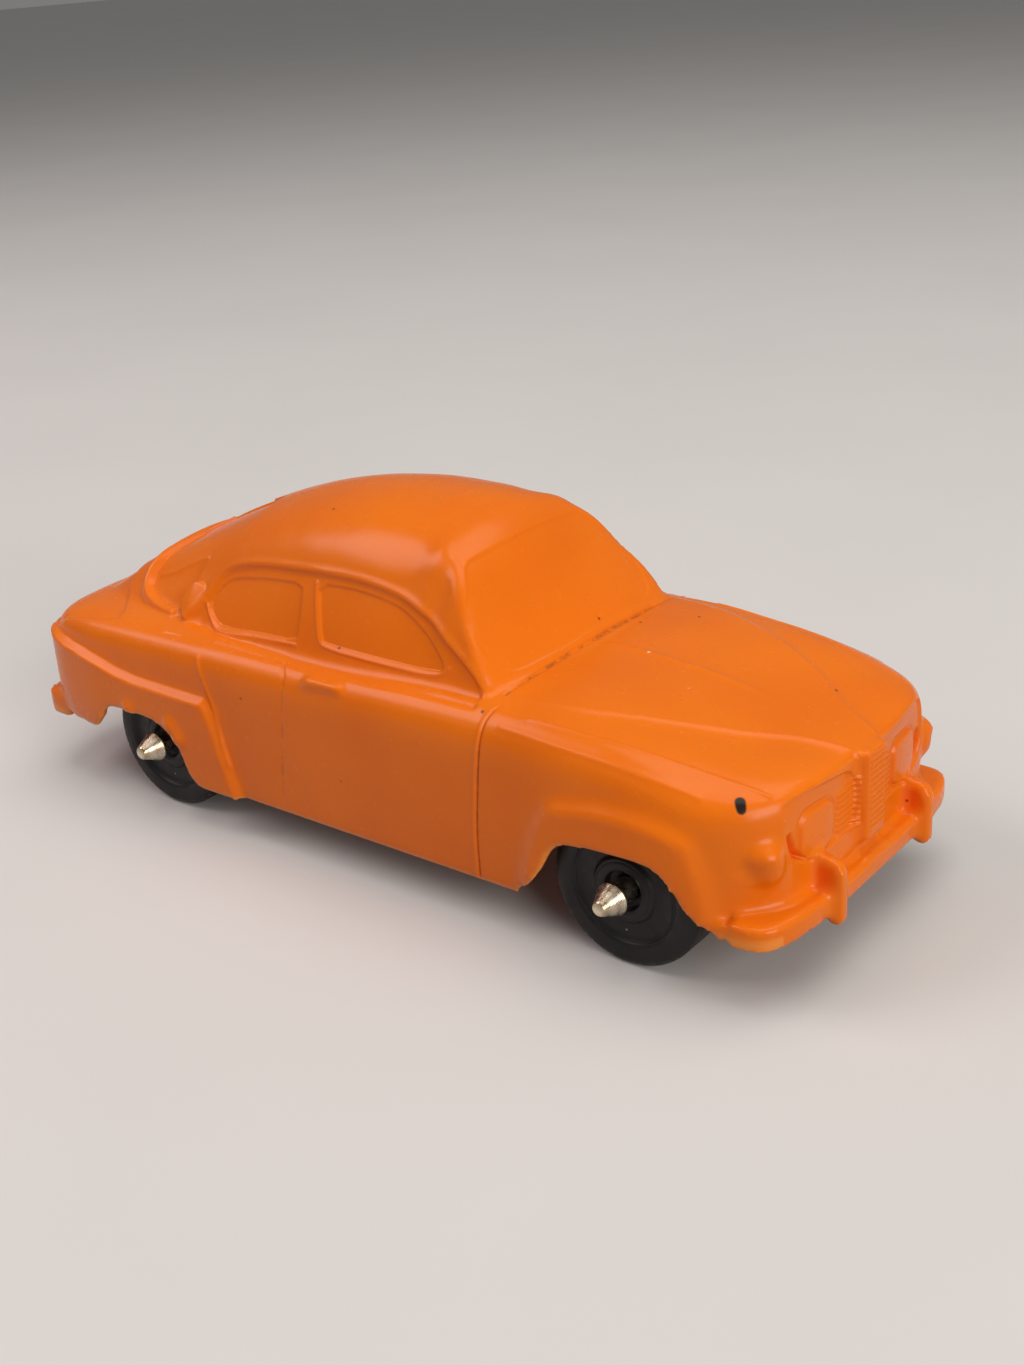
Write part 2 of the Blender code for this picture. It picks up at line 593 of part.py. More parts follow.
def join_headlamps(shell, cutters):
    """Headlamp pads, and the deep pocket at the lower outer corner of each."""
    outline = rounded_rectangle(LAMP_WIDTH, LAMP_HEIGHT, LAMP_CORNER)
    for side, label in ((1, "left"), (-1, "right")):
        aim = Matrix.Rotation(side * LAMP_TURN, 4, "Z") @ FACING_FORWARD
        middle = Vector((LAMP_FACE_X - LAMP_THICKNESS / 2, side * LAMP_Y, LAMP_Z)) * MM
        lamp = plate("lamp_" + label, outline, LAMP_THICKNESS, Matrix.Translation(middle) @ aim, cutters, LAMP_EDGE)
        boolean(shell, lamp, "UNION")
        mouth = [(side * y, z) for y, z in POCKET]
        ahead = Matrix.Translation(Vector((POCKET_FACE_X, 0.0, 0.0)) * MM) @ FACING_FORWARD
        pocket = plate("pocket_" + label, mouth, 2 * POCKET_DEPTH, ahead, cutters)
        boolean(shell, pocket, "DIFFERENCE")


def sink_panels(shell, cutters):
    """Sink panels and panes: each cutter stops at a loft of the cabin just inside its skin."""
    panel_core = half_loft("panel_core", CABIN_STATIONS, cabin_half_section, PANEL_RELIEF, SCREEN_BOW, cutters)
    glass_core = half_loft("glass_core", CABIN_STATIONS, cabin_half_section, GLASS_RELIEF, SCREEN_BOW, cutters)
    ahead = Matrix.Translation(Vector((WINDSCREEN_X, 0.0, 0.0)) * MM) @ FACING_FORWARD
    screen = WINDSCREEN + [(-y, z) for y, z in reversed(WINDSCREEN[1:-1])]
    side = (-BEYOND_THE_SIDES, BEYOND_THE_SIDES)
    openings = [
        (side_plate("side_panel", SIDE_PANEL, *side, cutters), panel_core),
        (plate("windscreen", screen, WINDSCREEN_DEPTH, ahead, cutters), panel_core),
        (side_plate("front_side_glass", FRONT_SIDE_GLASS, *side, cutters), glass_core),
        (side_plate("rear_side_glass", REAR_SIDE_GLASS, *side, cutters), glass_core),
        (flat_plate("rear_window", both_halves(REAR_WINDOW), ABOVE_THE_DECK, ABOVE_THE_ROOF, cutters), glass_core),
    ]
    for opening, core in openings:
        boolean(opening, core, "DIFFERENCE")
        boolean(shell, opening, "DIFFERENCE")


def bearing_webs(cutters):
    """Plates hanging from the inside of the shell that carry the axles."""
    skin = half_loft("web_limit", BODY_STATIONS, body_half_section, WALL / 2, NOSE_BOW, cutters)
    cabin = half_loft("web_limit_cabin", CABIN_STATIONS, cabin_half_section, WALL / 2, SCREEN_BOW, cutters)
    boolean(skin, cabin, "UNION")
    webs = []
    for end, x in (("front", AXLE_X), ("rear", -AXLE_X)):
        outline = [(x + WEB_HALF_LENGTH, WEB_TOP_Z), (x + WEB_HALF_LENGTH, WEB_SHOULDER_Z)]
        for angle in spread(WEB_EYE_FROM, WEB_EYE_TO, WEB_EYE_STEPS):
            outline.append((x + WEB_EYE_RADIUS * math.cos(angle), AXLE_Z + WEB_EYE_RADIUS * math.sin(angle)))
        outline += [(x - WEB_HALF_LENGTH, WEB_SHOULDER_Z), (x - WEB_HALF_LENGTH, WEB_TOP_Z)]
        for side, label in ((1, "left"), (-1, "right")):
            web = side_plate(end + "_web_" + label, outline, side * WEB_FROM_Y, side * WEB_TO_Y, cutters)
            boolean(web, skin, "INTERSECT")
            webs.append(web)
    return webs


def build_body(parts, cutters, vinyl):
    """The one-piece vinyl body, hollow and open underneath."""
    shell = half_loft("body_shell", BODY_STATIONS, body_half_section, 0.0, NOSE_BOW, parts, vinyl)
    boolean(shell, half_loft("cabin", CABIN_STATIONS, cabin_half_section, 0.0, SCREEN_BOW, cutters), "UNION")
    join_grille(shell, cutters)
    join_headlamps(shell, cutters)
    front_bar = bumper("front_bumper", FRONT_BUMPER_REACH, FRONT_BUMPER_HALF_WIDTH, FRONT_BUMPER_WRAP,
                       FRONT_BUMPER_LOW, FRONT_BUMPER_HIGH, FRONT_BUMPER_RISE, cutters)
    rear_bar = bumper("rear_bumper", REAR_BUMPER_REACH, REAR_BUMPER_HALF_WIDTH, REAR_BUMPER_WRAP,
                      REAR_BUMPER_LOW, REAR_BUMPER_HIGH, 0.0, cutters)
    join_bumper(shell, "front", front_bar, FRONT_OVERRIDER, cutters)
    join_bumper(shell, "rear", rear_bar, REAR_OVERRIDER, cutters)
    for name, mark in (("turn_lamps", TURN_LAMP), ("tail_lamps", TAIL_LAMP), ("air_vents", AIR_VENT)):
        boolean(shell, bumps(name, mark, cutters), "UNION")
    for side, label in ((1, "left"), (-1, "right")):
        handle = side_plate("handle_" + label, HANDLE, side * HANDLE_FROM_Y, side * HANDLE_TO_Y, cutters)
        boolean(shell, handle, "UNION")
    sink_panels(shell, cutters)
    cavity = half_loft("body_cavity", thinned(BODY_STATIONS), body_half_section, WALL, NOSE_BOW, cutters)
    roof_cavity = half_loft("cabin_cavity", thinned(CABIN_STATIONS), cabin_half_section, WALL, SCREEN_BOW, cutters)
    boolean(cavity, roof_cavity, "UNION")
    boolean(shell, cavity, "DIFFERENCE")
    for web in bearing_webs(cutters):
        boolean(shell, web, "UNION")
    for label, arch in (("front", FRONT_ARCH), ("rear", REAR_ARCH)):
        for side in (1, -1):
            cutter = side_plate(f"{label}_arch_{side}", arch, side * ARCH_INNER_Y, side * BEYOND_THE_SIDES, cutters)
            boolean(shell, cutter, "DIFFERENCE")
    for label, x in (("front", AXLE_X), ("rear", -AXLE_X)):
        bearing = cross_bar(label + "_bearing", BEARING_BORE_RADIUS, BEARING_REACH, x, cutters)
        boolean(shell, bearing, "DIFFERENCE")
    settle(shell)


def settle(obj):
    """Give the object the mesh that its modifiers make, shaded smooth up to its sharp edges."""
    bpy.context.view_layer.update()
    graph = bpy.context.evaluated_depsgraph_get()
    mesh = bpy.data.meshes.new_from_object(obj.evaluated_get(graph))
    obj.modifiers.clear()
    obj.data = mesh
    mesh.shade_smooth()
    mesh.set_sharp_from_angle(angle=SHARP_ANGLE)


def build_axle(name, x, parts, steel):
    """Turned rod whose cone heads snap through the wheels and hold them on."""
    neck = HEAD_SHOULDER - HEAD_BAND
    half = [(0.0, HEAD_TIP), (HEAD_TIP_RADIUS, HEAD_TIP), (HEAD_RADIUS, HEAD_SHOULDER), (HEAD_RADIUS, neck),
            (SHAFT_RADIUS, neck)]
    profile = half + [(radius, -height) for radius, height in reversed(half)]
    axle = turned(name, profile, AXLE_STEPS, parts, steel)
    axle.matrix_world = across(x, 0.0, 1)


def build_wheel(name, x, side, parts, black):
    """One-piece wheel: rounded tyre, dished face, hub ring and a counterbore round the axle."""
    face = WHEEL_WIDTH
    dish = face - DISH_DEPTH
    profile = [(TYRE_BAND, face), (WHEEL_RADIUS - TYRE_EDGE[0], face - TYRE_EDGE[1]),
               (WHEEL_RADIUS, face - TYRE_ROUNDING), (WHEEL_RADIUS, TYRE_ROUNDING), (TYRE_BAND, 0.0),
               (WHEEL_BORE_RADIUS, 0.0), (WHEEL_BORE_RADIUS, face - COUNTERBORE_DEPTH),
               (COUNTERBORE_RADIUS, face - COUNTERBORE_DEPTH), (COUNTERBORE_RADIUS, face), (HUB_RADIUS, face),
               (HUB_RADIUS + HUB_SLOPE, dish), (RIM_RADIUS, dish), (RIM_RADIUS + RIM_BEVEL[0], face - RIM_BEVEL[1])]
    wheel = turned(name, profile, WHEEL_STEPS, parts, black)
    flat_down = Matrix.Rotation(math.pi / WHEEL_STEPS, 4, "Z")
    wheel.matrix_world = across(x, side * (WHEEL_OUTER_FACE - WHEEL_WIDTH), side) @ flat_down


def main():
    for obj in list(bpy.data.objects):
        bpy.data.objects.remove(obj)
    parts = bpy.data.collections.new("toy_car")
    cutters = bpy.data.collections.new("cutters")
    for collection in (parts, cutters):
        bpy.context.scene.collection.children.link(collection)
    vinyl = finished("orange vinyl", (0.90, 0.18, 0.01), 0.38, 0.0)
    black = finished("black vinyl", (0.012, 0.012, 0.013), 0.5, 0.0)
    steel = finished("plated steel", (0.62, 0.56, 0.42), 0.25, 1.0)
    build_body(parts, cutters, vinyl)
    for end, x in (("front", AXLE_X), ("rear", -AXLE_X)):
        build_axle("axle_" + end, x, parts, steel)
        for label, side in (("left", 1), ("right", -1)):
            build_wheel(f"wheel_{end}_{label}", x, side, parts, black)
    for obj in parts.objects:
        obj.matrix_world = Matrix.Translation((LENGTH_OFFSET * MM, 0.0, 0.0)) @ obj.matrix_world


main()
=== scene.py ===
"""Toy saloon car: soft-vinyl body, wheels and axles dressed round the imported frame.

Sizes in the code are millimetres. The body is drawn about the middle of the wheelbase, as in the part's
source, and is moved forward by LENGTH_OFFSET and scaled to metres when it is finished.
"""

import math

import bmesh
import bpy
import numpy as np
from mathutils import Matrix, Vector
from mathutils.bvhtree import BVHTree


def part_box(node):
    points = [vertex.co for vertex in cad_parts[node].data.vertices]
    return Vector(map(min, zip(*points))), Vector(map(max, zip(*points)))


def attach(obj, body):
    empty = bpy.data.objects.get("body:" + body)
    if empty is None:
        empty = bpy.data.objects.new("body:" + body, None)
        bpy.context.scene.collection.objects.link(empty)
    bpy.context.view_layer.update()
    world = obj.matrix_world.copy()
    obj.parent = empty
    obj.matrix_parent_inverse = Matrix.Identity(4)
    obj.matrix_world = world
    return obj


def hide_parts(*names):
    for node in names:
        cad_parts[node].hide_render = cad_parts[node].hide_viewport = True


bl_info = {
    "name": "Toy saloon car",
    "version": (1, 0, 0),
    "blender": (4, 5, 0),
    "location": "3D View > Sidebar > Toy car",
    "description": "Dresses the packed toy car with its moulded vinyl body, wheels and turned axles",
    "category": "Object",
}

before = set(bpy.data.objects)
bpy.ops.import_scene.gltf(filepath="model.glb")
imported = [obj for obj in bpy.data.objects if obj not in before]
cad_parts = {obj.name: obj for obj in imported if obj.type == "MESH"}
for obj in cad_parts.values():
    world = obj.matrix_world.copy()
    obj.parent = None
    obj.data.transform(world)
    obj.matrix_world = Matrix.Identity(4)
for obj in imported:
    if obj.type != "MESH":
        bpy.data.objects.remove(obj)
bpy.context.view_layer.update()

MM = 0.001
LENGTH_OFFSET = 2.15
AXLE_LOW, AXLE_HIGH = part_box("axle_front")
AXLE_X = (AXLE_LOW.x + AXLE_HIGH.x) / 2 / MM - LENGTH_OFFSET
AXLE_Z = (AXLE_LOW.z + AXLE_HIGH.z) / 2 / MM
WALL = 1.3
SKIN_DEPTH = 0.5
SILL_TUCK = 0.35
CAVITY_FLOOR = -1.0
WIDEST_Z = 12.0
CABIN_SIDE_BOW = 0.35
CABIN_FOOT = 3.0
FRONT_WING_SWELL = 0.75
FRONT_WING_EASE = 1.8
REAR_WING_SWELL = 0.9
WING_LEDGE = 0.9
WING_SIDE_Y = 15
FAR = 1e3

# Curves along the car, as (x, value) points
WING_LINE = [
    (-48, 18.2), (-43.2, 17.3), (-39.3, 16.8), (-35.9, 16.2), (-33, 15.6), (-29.8, 15.3), (-20, 15.2), (0, 15.4),
    (20, 15.6), (24.5, 16.2), (27.7, 16.8), (30.7, 17), (33.5, 16.8), (36.2, 16.2), (39, 15.2), (43.7, 13.6),
]
BONNET_CREASE = [
    (-48.3, 9), (-30, 12.5), (10, 13.6), (14.6, 13.6), (21, 12.8), (27.7, 10.7), (35.3, 6.9), (39.3, 3.9),
    (43.7, 1.9),
]
BODY_HALF_WIDTH = [
    (-48.3, 12.8), (-47.8, 14.2), (-46.8, 15.3), (-45, 16.3), (-42, 17), (-36, 17.5), (-20, 17.6), (15, 17.6),
    (30, 17.7), (36, 17.4), (38.6, 16.9), (40.6, 16), (42.2, 14.7), (43.2, 13.3), (43.7, 12.2),
]
BODY_TOP = [
    (-48.3, 17.8), (-47.6, 18.6), (-46, 19.4), (-42, 20.1), (-30, 20.6), (-10, 21.2), (10, 22), (20, 22.1),
    (27, 21.7), (32, 21), (38, 19.8), (42, 18.9), (43.2, 18.5), (43.7, 18.1),
]
BODY_BOTTOM = [(-48.3, 7.6), (-38, 7.6), (-22, 4.4), (18, 4.4), (37, 6.7), (43.7, 7)]
BODY_SQUARENESS = [(-48.3, 7.5), (-30, 7), (0, 6.2), (17, 6.2), (26, 5.4), (38, 5.2), (43.7, 6.5)]
CABIN_TOP = [
    (-46.5, 18.6), (-44, 20.4), (-41, 22.2), (-38, 23.9), (-34, 26), (-30, 28), (-25, 30.1), (-20, 31.9), (-15, 33.3),
    (-10, 34.2), (-4, 34.7), (1, 34.6), (5, 33.8), (8, 32), (12, 27), (16.2, 21.7), (18, 19.4),
]
CABIN_BELT_Y = [
    (-46.5, 10.6), (-41, 11.4), (-36, 12.2), (-28, 13.3), (-18, 14.4), (-5, 14.9), (8, 14.8), (14.8, 14.1),
    (18, 13.6),
]
CABIN_BELT_Z = [(-46.5, 18), (-38, 19.3), (-20, 19.8), (5, 20.3), (18, 19)]
CABIN_CORNER_Y = [
    (-46.5, 8.6), (-41, 8.8), (-36, 8.6), (-28, 8.6), (-20, 9), (-10, 9.8), (0, 10), (7, 9.6), (10, 11.2),
    (14.8, 13.9), (18, 13.4),
]
CABIN_CORNER_DROP = [
    (-46.5, 0.3), (-40, 0.5), (-34, 1.2), (-25, 2.2), (-10, 3), (2, 2.8), (7, 0.9), (10, 0.4), (18, 0.2),
]
CABIN_CORNER_ROUND = [(-46.5, 0.8), (-40, 1.4), (-30, 3), (-10, 4.2), (0, 4), (6, 2.2), (10, 1.2), (18, 0.6)]
NOSE_BOW = [(-48.3, -0.9), (-38, 0), (0, 0), (30, 0), (43.7, 1.1)]
SCREEN_BOW = [(-46.5, -1.5), (-30, 0), (0, 0), (8, 1.4), (18, 1.6)]

# Ends of the wings as (z, x) points
REAR_WING_FRONT = [(5, -16.6), (8.1, -17.3), (10.8, -18), (13, -18.7), (16, -20.5)]
FRONT_WING_BACK = [(4, 18), (8, 18.8), (12, 20.2), (15, 22), (17, 24.5)]
FRONT_WING_FRONT = [(6, 40.6), (9.6, 40.2), (12, 39.6), (14.4, 38.6), (17, 36.5)]

# Wheel arches as (x, z) outlines
FRONT_ARCH = [
    (17.2, 1), (17.9, 4.5), (20.2, 6.3), (21.8, 8.2), (22.8, 10.4), (24.2, 11.6), (28, 12), (32.2, 12.2),
    (34.2, 11.6), (35.4, 10), (36.4, 8.2), (37.6, 7.1), (39, 6.4), (39.4, 1),
]
REAR_ARCH = [
    (-21, 1), (-22, 4.3), (-23.6, 5.2), (-24.3, 7.2), (-24.9, 9), (-26.4, 10.2), (-28.6, 11), (-32, 11.1),
    (-34.6, 11), (-36, 10.4), (-37, 9), (-38.4, 7.6), (-39.6, 5.6), (-39.8, 1),
]

# Overriders and door handle as (x, z) outlines
FRONT_OVERRIDER = [
    (43, 6.4), (44, 6.3), (44.8, 5.45), (45.45, 5.35), (45.95, 5.8), (46, 10.1), (45.8, 10.9), (45.2, 11.4),
    (43.6, 11.7), (43, 11.7),
]
REAR_OVERRIDER = [(-48.6, 6.2), (-50, 6), (-50.7, 7.2), (-50.6, 10), (-50, 11.4), (-49.2, 11.8), (-48.4, 11.4)]
MOULD_TONGUE = [(37.2, 7.2), (37.5, 6.5), (39.1, 6.1), (40.6, 6.45), (41.2, 7.1), (40.6, 7.9), (38.6, 7.9)]
HANDLE = [(-6.7, 19.3), (-6, 20.1), (-2.1, 20.2), (-1.5, 20), (-1.7, 19.5), (-6.3, 19.2)]

# Each outline with how near and how far from the centre line it stands
SIDE_FITTINGS = ((FRONT_OVERRIDER, 7.4, 8.7), (REAR_OVERRIDER, 7.1, 10.2), (HANDLE, 15.6, 17.35))
TONGUE_Y = (-16.95, -16.4)
ARCH_Y = (11, 22)
WEB_Y = (8.4, 10.6)

# Bearing webs: the round eye under each axle, half the length and the straight sides' foot and top
WEB_EYE = 3.0
WEB_HALF_LENGTH = 4.6
WEB_FOOT, WEB_TOP = 13.0, 32.0
WEB_BORE = 1.5
BORE_LENGTH = 25.0

# Bumpers: reach, half width, wrap round the corners, depth, bottom, top and rise of the ends
BUMPERS = ((45.05, 17.1, 4.9, 2.6, 6.2, 8.5, -0.15), (-49.8, 17.0, 5.4, 2.6, 6.9, 9.5, 0.0))
BUMPER_END = (14, 17)
GRILLE_BLOCK = ((42.6, -1.75, 9.8), (44.7, 1.75, 18.3))

# Turn lamps, the swell round them, tail lamps, and three lumps on the edge of the near rear arch
BOTH_SIDES, NEAR_SIDE = (1, -1), (-1,)
LUMPS = (
    ((40.75, 13.95, 13.6), (2.4, 1.35, 1.25), BOTH_SIDES),
    ((40.9, 13.45, 12.8), (2.3, 1.5, 2.5), BOTH_SIDES),
    ((-47.3, 11.6, 13.6), (1.3, 1.5, 2.3), BOTH_SIDES),
    ((-31.6, 18.4, 11.6), (0.9, 0.5, 0.6), NEAR_SIDE),
    ((-25.2, 18.4, 11.1), (1.0, 0.6, 0.9), NEAR_SIDE),
    ((-24.2, 18.35, 9.9), (0.9, 0.6, 1.0), NEAR_SIDE),
)

# Relief on the sides, as (x, z) paths
SIDE_PANEL = [
    (-29, 19), (-26.4, 20.4), (-24.4, 22.8), (-23.6, 24.4), (-22.3, 25.9), (-19.7, 26.8), (-15.7, 27.5), (-11.2, 28),
    (-6.9, 28.3), (-3, 28.4), (0.9, 28.1), (3.5, 27.5), (6.2, 26.5), (9.1, 24.7), (11.9, 23.3), (13, 22.1),
    (13.6, 21.4), (14, 19.5),
]
FRONT_SIDE_GLASS = [
    (-8.4, 27.4), (-7.5, 25.1), (-6.7, 22.8), (-6.1, 22.45), (0, 22.4), (7.9, 22.4), (8.6, 23.1), (7, 24.6),
    (4.6, 26.2), (2, 27.2), (-1, 27.6), (-4.6, 27.7),
]
REAR_SIDE_GLASS = [
    (-24, 22.6), (-22.5, 21.4), (-21, 21.1), (-15.6, 21.6), (-10.1, 22), (-9.9, 23), (-10.3, 25.6), (-10.7, 27),
    (-15.2, 26.6), (-19.9, 25.8), (-21.8, 25.3), (-23.2, 24.2),
]
FRONT_GLASS_RIM = [(-8.8, 27.4), (-7.9, 25), (-7.1, 22.7), (-6.3, 22.05), (0, 22), (8, 22), (9.1, 23)]
REAR_GLASS_RIM = [(-24.4, 22.7), (-22.8, 21.1), (-21.1, 20.7), (-15.6, 21.2), (-10, 21.6)]
DOOR_FRONT = [(15.9, 21.6), (15.4, 20.8), (15.3, 19.5), (15.1, 17.1), (14.6, 13), (14.2, 8.8), (14, 4.8)]
DOOR_FRONT_EDGE = [(15.6, 21.5), (15.1, 20.7), (15, 19.5), (14.8, 17.1), (14.3, 13), (13.9, 8.8), (13.7, 4.8)]
DOOR_REAR = [(-10.1, 20.3), (-9.6, 19.9), (-8.9, 19.2), (-9.4, 14.1), (-10.2, 9.6), (-10.7, 5.2)]
QUARTER_SEAM = [(-21.1, 18.9), (-19.9, 16.5), (-18.8, 13.8), (-18.1, 10.3), (-17.6, 8.1)]
VENT_MIDDLE = (-25.9, 22.2)
VENT_RADIUS = 1.9

# Relief on the top, as (x, y) paths on the left half
HOOD_SHUT_LINE = [(19.5, 15.4), (23.6, 15.2), (28.5, 14.8), (34, 14.2), (39, 13.2), (41.4, 12.6)]
FENDER_LINE = [(17.1, 16.6), (21.5, 16.7), (27.6, 16.5), (32.4, 16.4), (36.9, 15.9)]
HOOD_RIDGE = [(17.4, 0), (36, 0)]
SCREEN_FOOT = [(15.75, 0), (15.6, 6), (15.4, 10), (15.3, 13.4)]
REAR_GLASS = [
    (-22.5, 0), (-22.5, 5), (-22.9, 7.6), (-24.3, 8.2), (-25.8, 8.9), (-26.6, 9.7), (-27, 11), (-27.8, 12.2),
    (-29.1, 12.5), (-31.4, 12.1), (-34, 11.3), (-35.3, 10.2), (-35.5, 8.8), (-35.2, 7.7), (-35, 0),
]
REAR_GLASS_RIB = [(-35.7, 0), (-35.8, 7.6), (-36.1, 8.9), (-35.9, 10.2), (-34.4, 11.5), (-31.4, 12.4), (-29, 12.8)]
REAR_GLASS_FOLD = [(-27.1, 9.1), (-28.6, 9.2), (-30.1, 9.4), (-31.5, 9.7), (-34.1, 9.7)]
BOOT_LID = [
    (-38.5, 0), (-38.8, 7.5), (-39.2, 9.4), (-38.4, 10.9), (-37, 12.4), (-35.6, 13.8), (-35, 16), (-52, 16), (-52, 0),
]

# Relief on the screen and the nose, as (y, z) paths on the left half
SCREEN_GLASS = [
    (0, 23.1), (4, 22.9), (8.4, 22.8), (10.2, 22.7), (11.5, 23.1), (12.1, 23.9), (12.4, 24.9), (12.5, 26),
    (11.9, 27.5), (9.8, 30), (9, 31), (7.6, 31.4), (0, 31.8),
]
FACE_PANEL = [
    (1.9, 11.3), (1.9, 17), (6.4, 17.6), (10.4, 17.9), (12.1, 17.6), (12.4, 17), (12.3, 14.8), (12, 13.3),
    (11.3, 12.2), (8.9, 11.4), (6.2, 11.3),
]
LAMP_MIDDLE = (7.85, 13.65)
LAMP_SIZE = (4.9, 4.3)
LAMP_CORNER = 1.3
POCKET = [(9.3, 11.5), (10.6, 11.9), (11.6, 12.7), (12.1, 14.4), (11.4, 14.8), (10.8, 13.4), (10.3, 12.3)]
SLAT_PITCH = 0.56
BONNET_HOLLOW = 0.18
HOLLOW_WIDTH = 1.3
LAMP_CREASE = [(39.7, 16.1, 11.9), (40.6, 15.3, 11.3), (41.5, 14.3, 11.3), (42.4, 13, 11.9)]
CHIP_ENDS = ((39.8, -14.5, 18.3), (40.2, -14.95, 17.9))
CHIP_RADIUS = 0.55


def curve(points, x):
    """Value at x on a smooth curve through (x, value) points that never overshoots them."""
    xs, ys = np.array(points, float).T
    step = np.diff(xs)
    slope = np.diff(ys) / step
    tangent = np.zeros(len(xs))
    tangent[0] = slope[0]
    tangent[-1] = slope[-1]
    for i in range(1, len(xs) - 1):
        if slope[i - 1] * slope[i] > 0:
            tangent[i] = 2 * slope[i - 1] * slope[i] / (slope[i - 1] + slope[i])
    x = np.clip(x, xs[0], xs[-1])
    i = np.minimum(np.searchsorted(xs, x, side="right") - 1, len(xs) - 2)
    t = (x - xs[i]) / step[i]
    return ((2 * t**3 - 3 * t**2 + 1) * ys[i] + (t**3 - 2 * t**2 + t) * step[i] * tangent[i]
            + (3 * t**2 - 2 * t**3) * ys[i + 1] + (t**3 - t**2) * step[i] * tangent[i + 1])


def ramp(start, end, value):
    """0 at start, 1 at end and an easy curve between; start may be the larger of the two."""
    t = np.clip((value - start) / (end - start), 0.0, 1.0)
    return t * t * (3 - 2 * t)


def wing_swell(x, z):
    """How far the wings stand proud of the doors at (x, z) on the side of the body."""
    below = curve(WING_LINE, x) - z
    rear = np.minimum(below, curve(REAR_WING_FRONT, z) - x)
    front = np.minimum(np.minimum(below, x - curve(FRONT_WING_BACK, z)), curve(FRONT_WING_FRONT, z) - x)
    return REAR_WING_SWELL * np.clip(rear / WING_LEDGE, 0.0, 1.0) + FRONT_WING_SWELL * ramp(0.0, FRONT_WING_EASE, front)


def body_half_section(x, inset, steps):
    """Half outline of the lower body at x, from the middle of the underside up to the middle of the top."""
    half = float(curve(BODY_HALF_WIDTH, x)) - inset
    rise = float(curve(BODY_TOP, x)) - inset - WIDEST_Z
    bottom = CAVITY_FLOOR if inset else float(curve(BODY_BOTTOM, x))
    power = float(curve(BODY_SQUARENESS, x))
    foot = half - SILL_TUCK
    points = [(0.0, bottom), (foot * 0.6, bottom), (foot, bottom)]
    for s in (0.2, 0.4, 0.6, 0.8):
        points.append((half - SILL_TUCK * (1 - s) ** 2, bottom + s * (WIDEST_Z - bottom)))
    # The side and the shoulder follow a superellipse, with points on both edges of the wings' ledge
    line = min(float(curve(WING_LINE, x)), WIDEST_Z + 0.8 * rise)
    start = math.asin(((line - WIDEST_Z) / rise) ** (power / 2))
    for z in [*np.linspace(WIDEST_Z, line - WING_LEDGE, 7), line - 0.6, line - 0.3]:
        points.append((half * (1 - ((z - WIDEST_Z) / rise) ** power) ** (1 / power), z))
    for angle in np.linspace(start, math.pi / 2, steps, endpoint=False):
        points.append((half * math.cos(angle) ** (2 / power), WIDEST_Z + rise * math.sin(angle) ** (2 / power)))
    points.append((0.0, WIDEST_Z + rise))
    return [(y + float(wing_swell(x, z)) if y > 0.8 * half else y, z) for y, z in points]


def cabin_half_section(x, inset, steps):
    """Half outline of the greenhouse at x: leaning side, rounded roof rail and crowned roof."""
    belt_y = float(curve(CABIN_BELT_Y, x)) - inset
    top = float(curve(CABIN_TOP, x)) - inset
    corner_y = min(float(curve(CABIN_CORNER_Y, x)) - inset, belt_y - 0.2)
    drop = float(curve(CABIN_CORNER_DROP, x))
    belt_z = min(float(curve(CABIN_BELT_Z, x)), top - drop - 0.5)
    side = Vector((corner_y - belt_y, top - drop - belt_z))
    blend = min(float(curve(CABIN_CORNER_ROUND, x)), 0.8 * side.length, 0.6 * corner_y)
    roof_y = corner_y - blend
    roof_z = top - drop * (roof_y / corner_y) ** 2
    slope = -2 * drop * roof_y / corner_y**2
    lean = side.x / side.y
    handle_z = (roof_z + slope * (belt_y - lean * belt_z - roof_y)) / (1 - slope * lean)
    handle = Vector((belt_y + lean * (handle_z - belt_z), handle_z))
    start = handle - side.normalized() * blend
    if start.y < belt_z:
        start = Vector((belt_y, belt_z)) + side * 0.3
    finish = Vector((roof_y, roof_z))
    foot_z = belt_z - CABIN_FOOT
    points = [(0.0, foot_z), (belt_y * 0.6, foot_z), (belt_y, foot_z)]
    for s in np.linspace(0.0, 0.8, steps // 2):
        bow = CABIN_SIDE_BOW * math.sin(math.pi * s)
        points.append((belt_y + (start.x - belt_y) * s + bow, belt_z + (start.y - belt_z) * s))
    for t in np.linspace(0.0, 1 - 1 / steps, steps):
        point = start * (1 - t) ** 2 + handle * (2 * t * (1 - t)) + finish * t * t
        points.append((point.x, point.y))
    for y in np.linspace(roof_y, 0.0, steps // 2):
        points.append((float(y), top - drop * (y / corner_y) ** 2))
    return points


def add_loft(bm, stations, section, inset, bow, steps):
    """Add a closed solid lofted along X through mirrored half sections."""
    reach = max(abs(stations[0]), abs(stations[-1]))
    shorten = (reach - inset) / reach
    rings = []
    for x in stations:
        half = section(x, inset, steps)
        outline = half + [(-y, z) for y, z in reversed(half[1:-1])]
        bend = float(curve(bow, x))
        rings.append([bm.verts.new((x * shorten - bend * (y / 14) ** 2, y, z)) for y, z in outline])
    count = len(rings[0])
    for ring, following in zip(rings, rings[1:]):
        for i in range(count):
            j = (i + 1) % count
            bm.faces.new((ring[i], following[i], following[j], ring[j]))
    for ring in (rings[0], rings[-1]):
        middle = Vector((ring[0].co.x, 0.0, (ring[0].co.z + ring[count // 2].co.z) / 2))
        centre = bm.verts.new(middle)
        inner = []
        for vert in ring:
            point = middle.lerp(vert.co, 0.55)
            point.x = middle.x + (vert.co.x - middle.x) * 0.3
            inner.append(bm.verts.new(point))
        for i in range(count):
            j = (i + 1) % count
            bm.faces.new((ring[j], inner[j], inner[i], ring[i]))
            bm.faces.new((inner[j], centre, inner[i]))


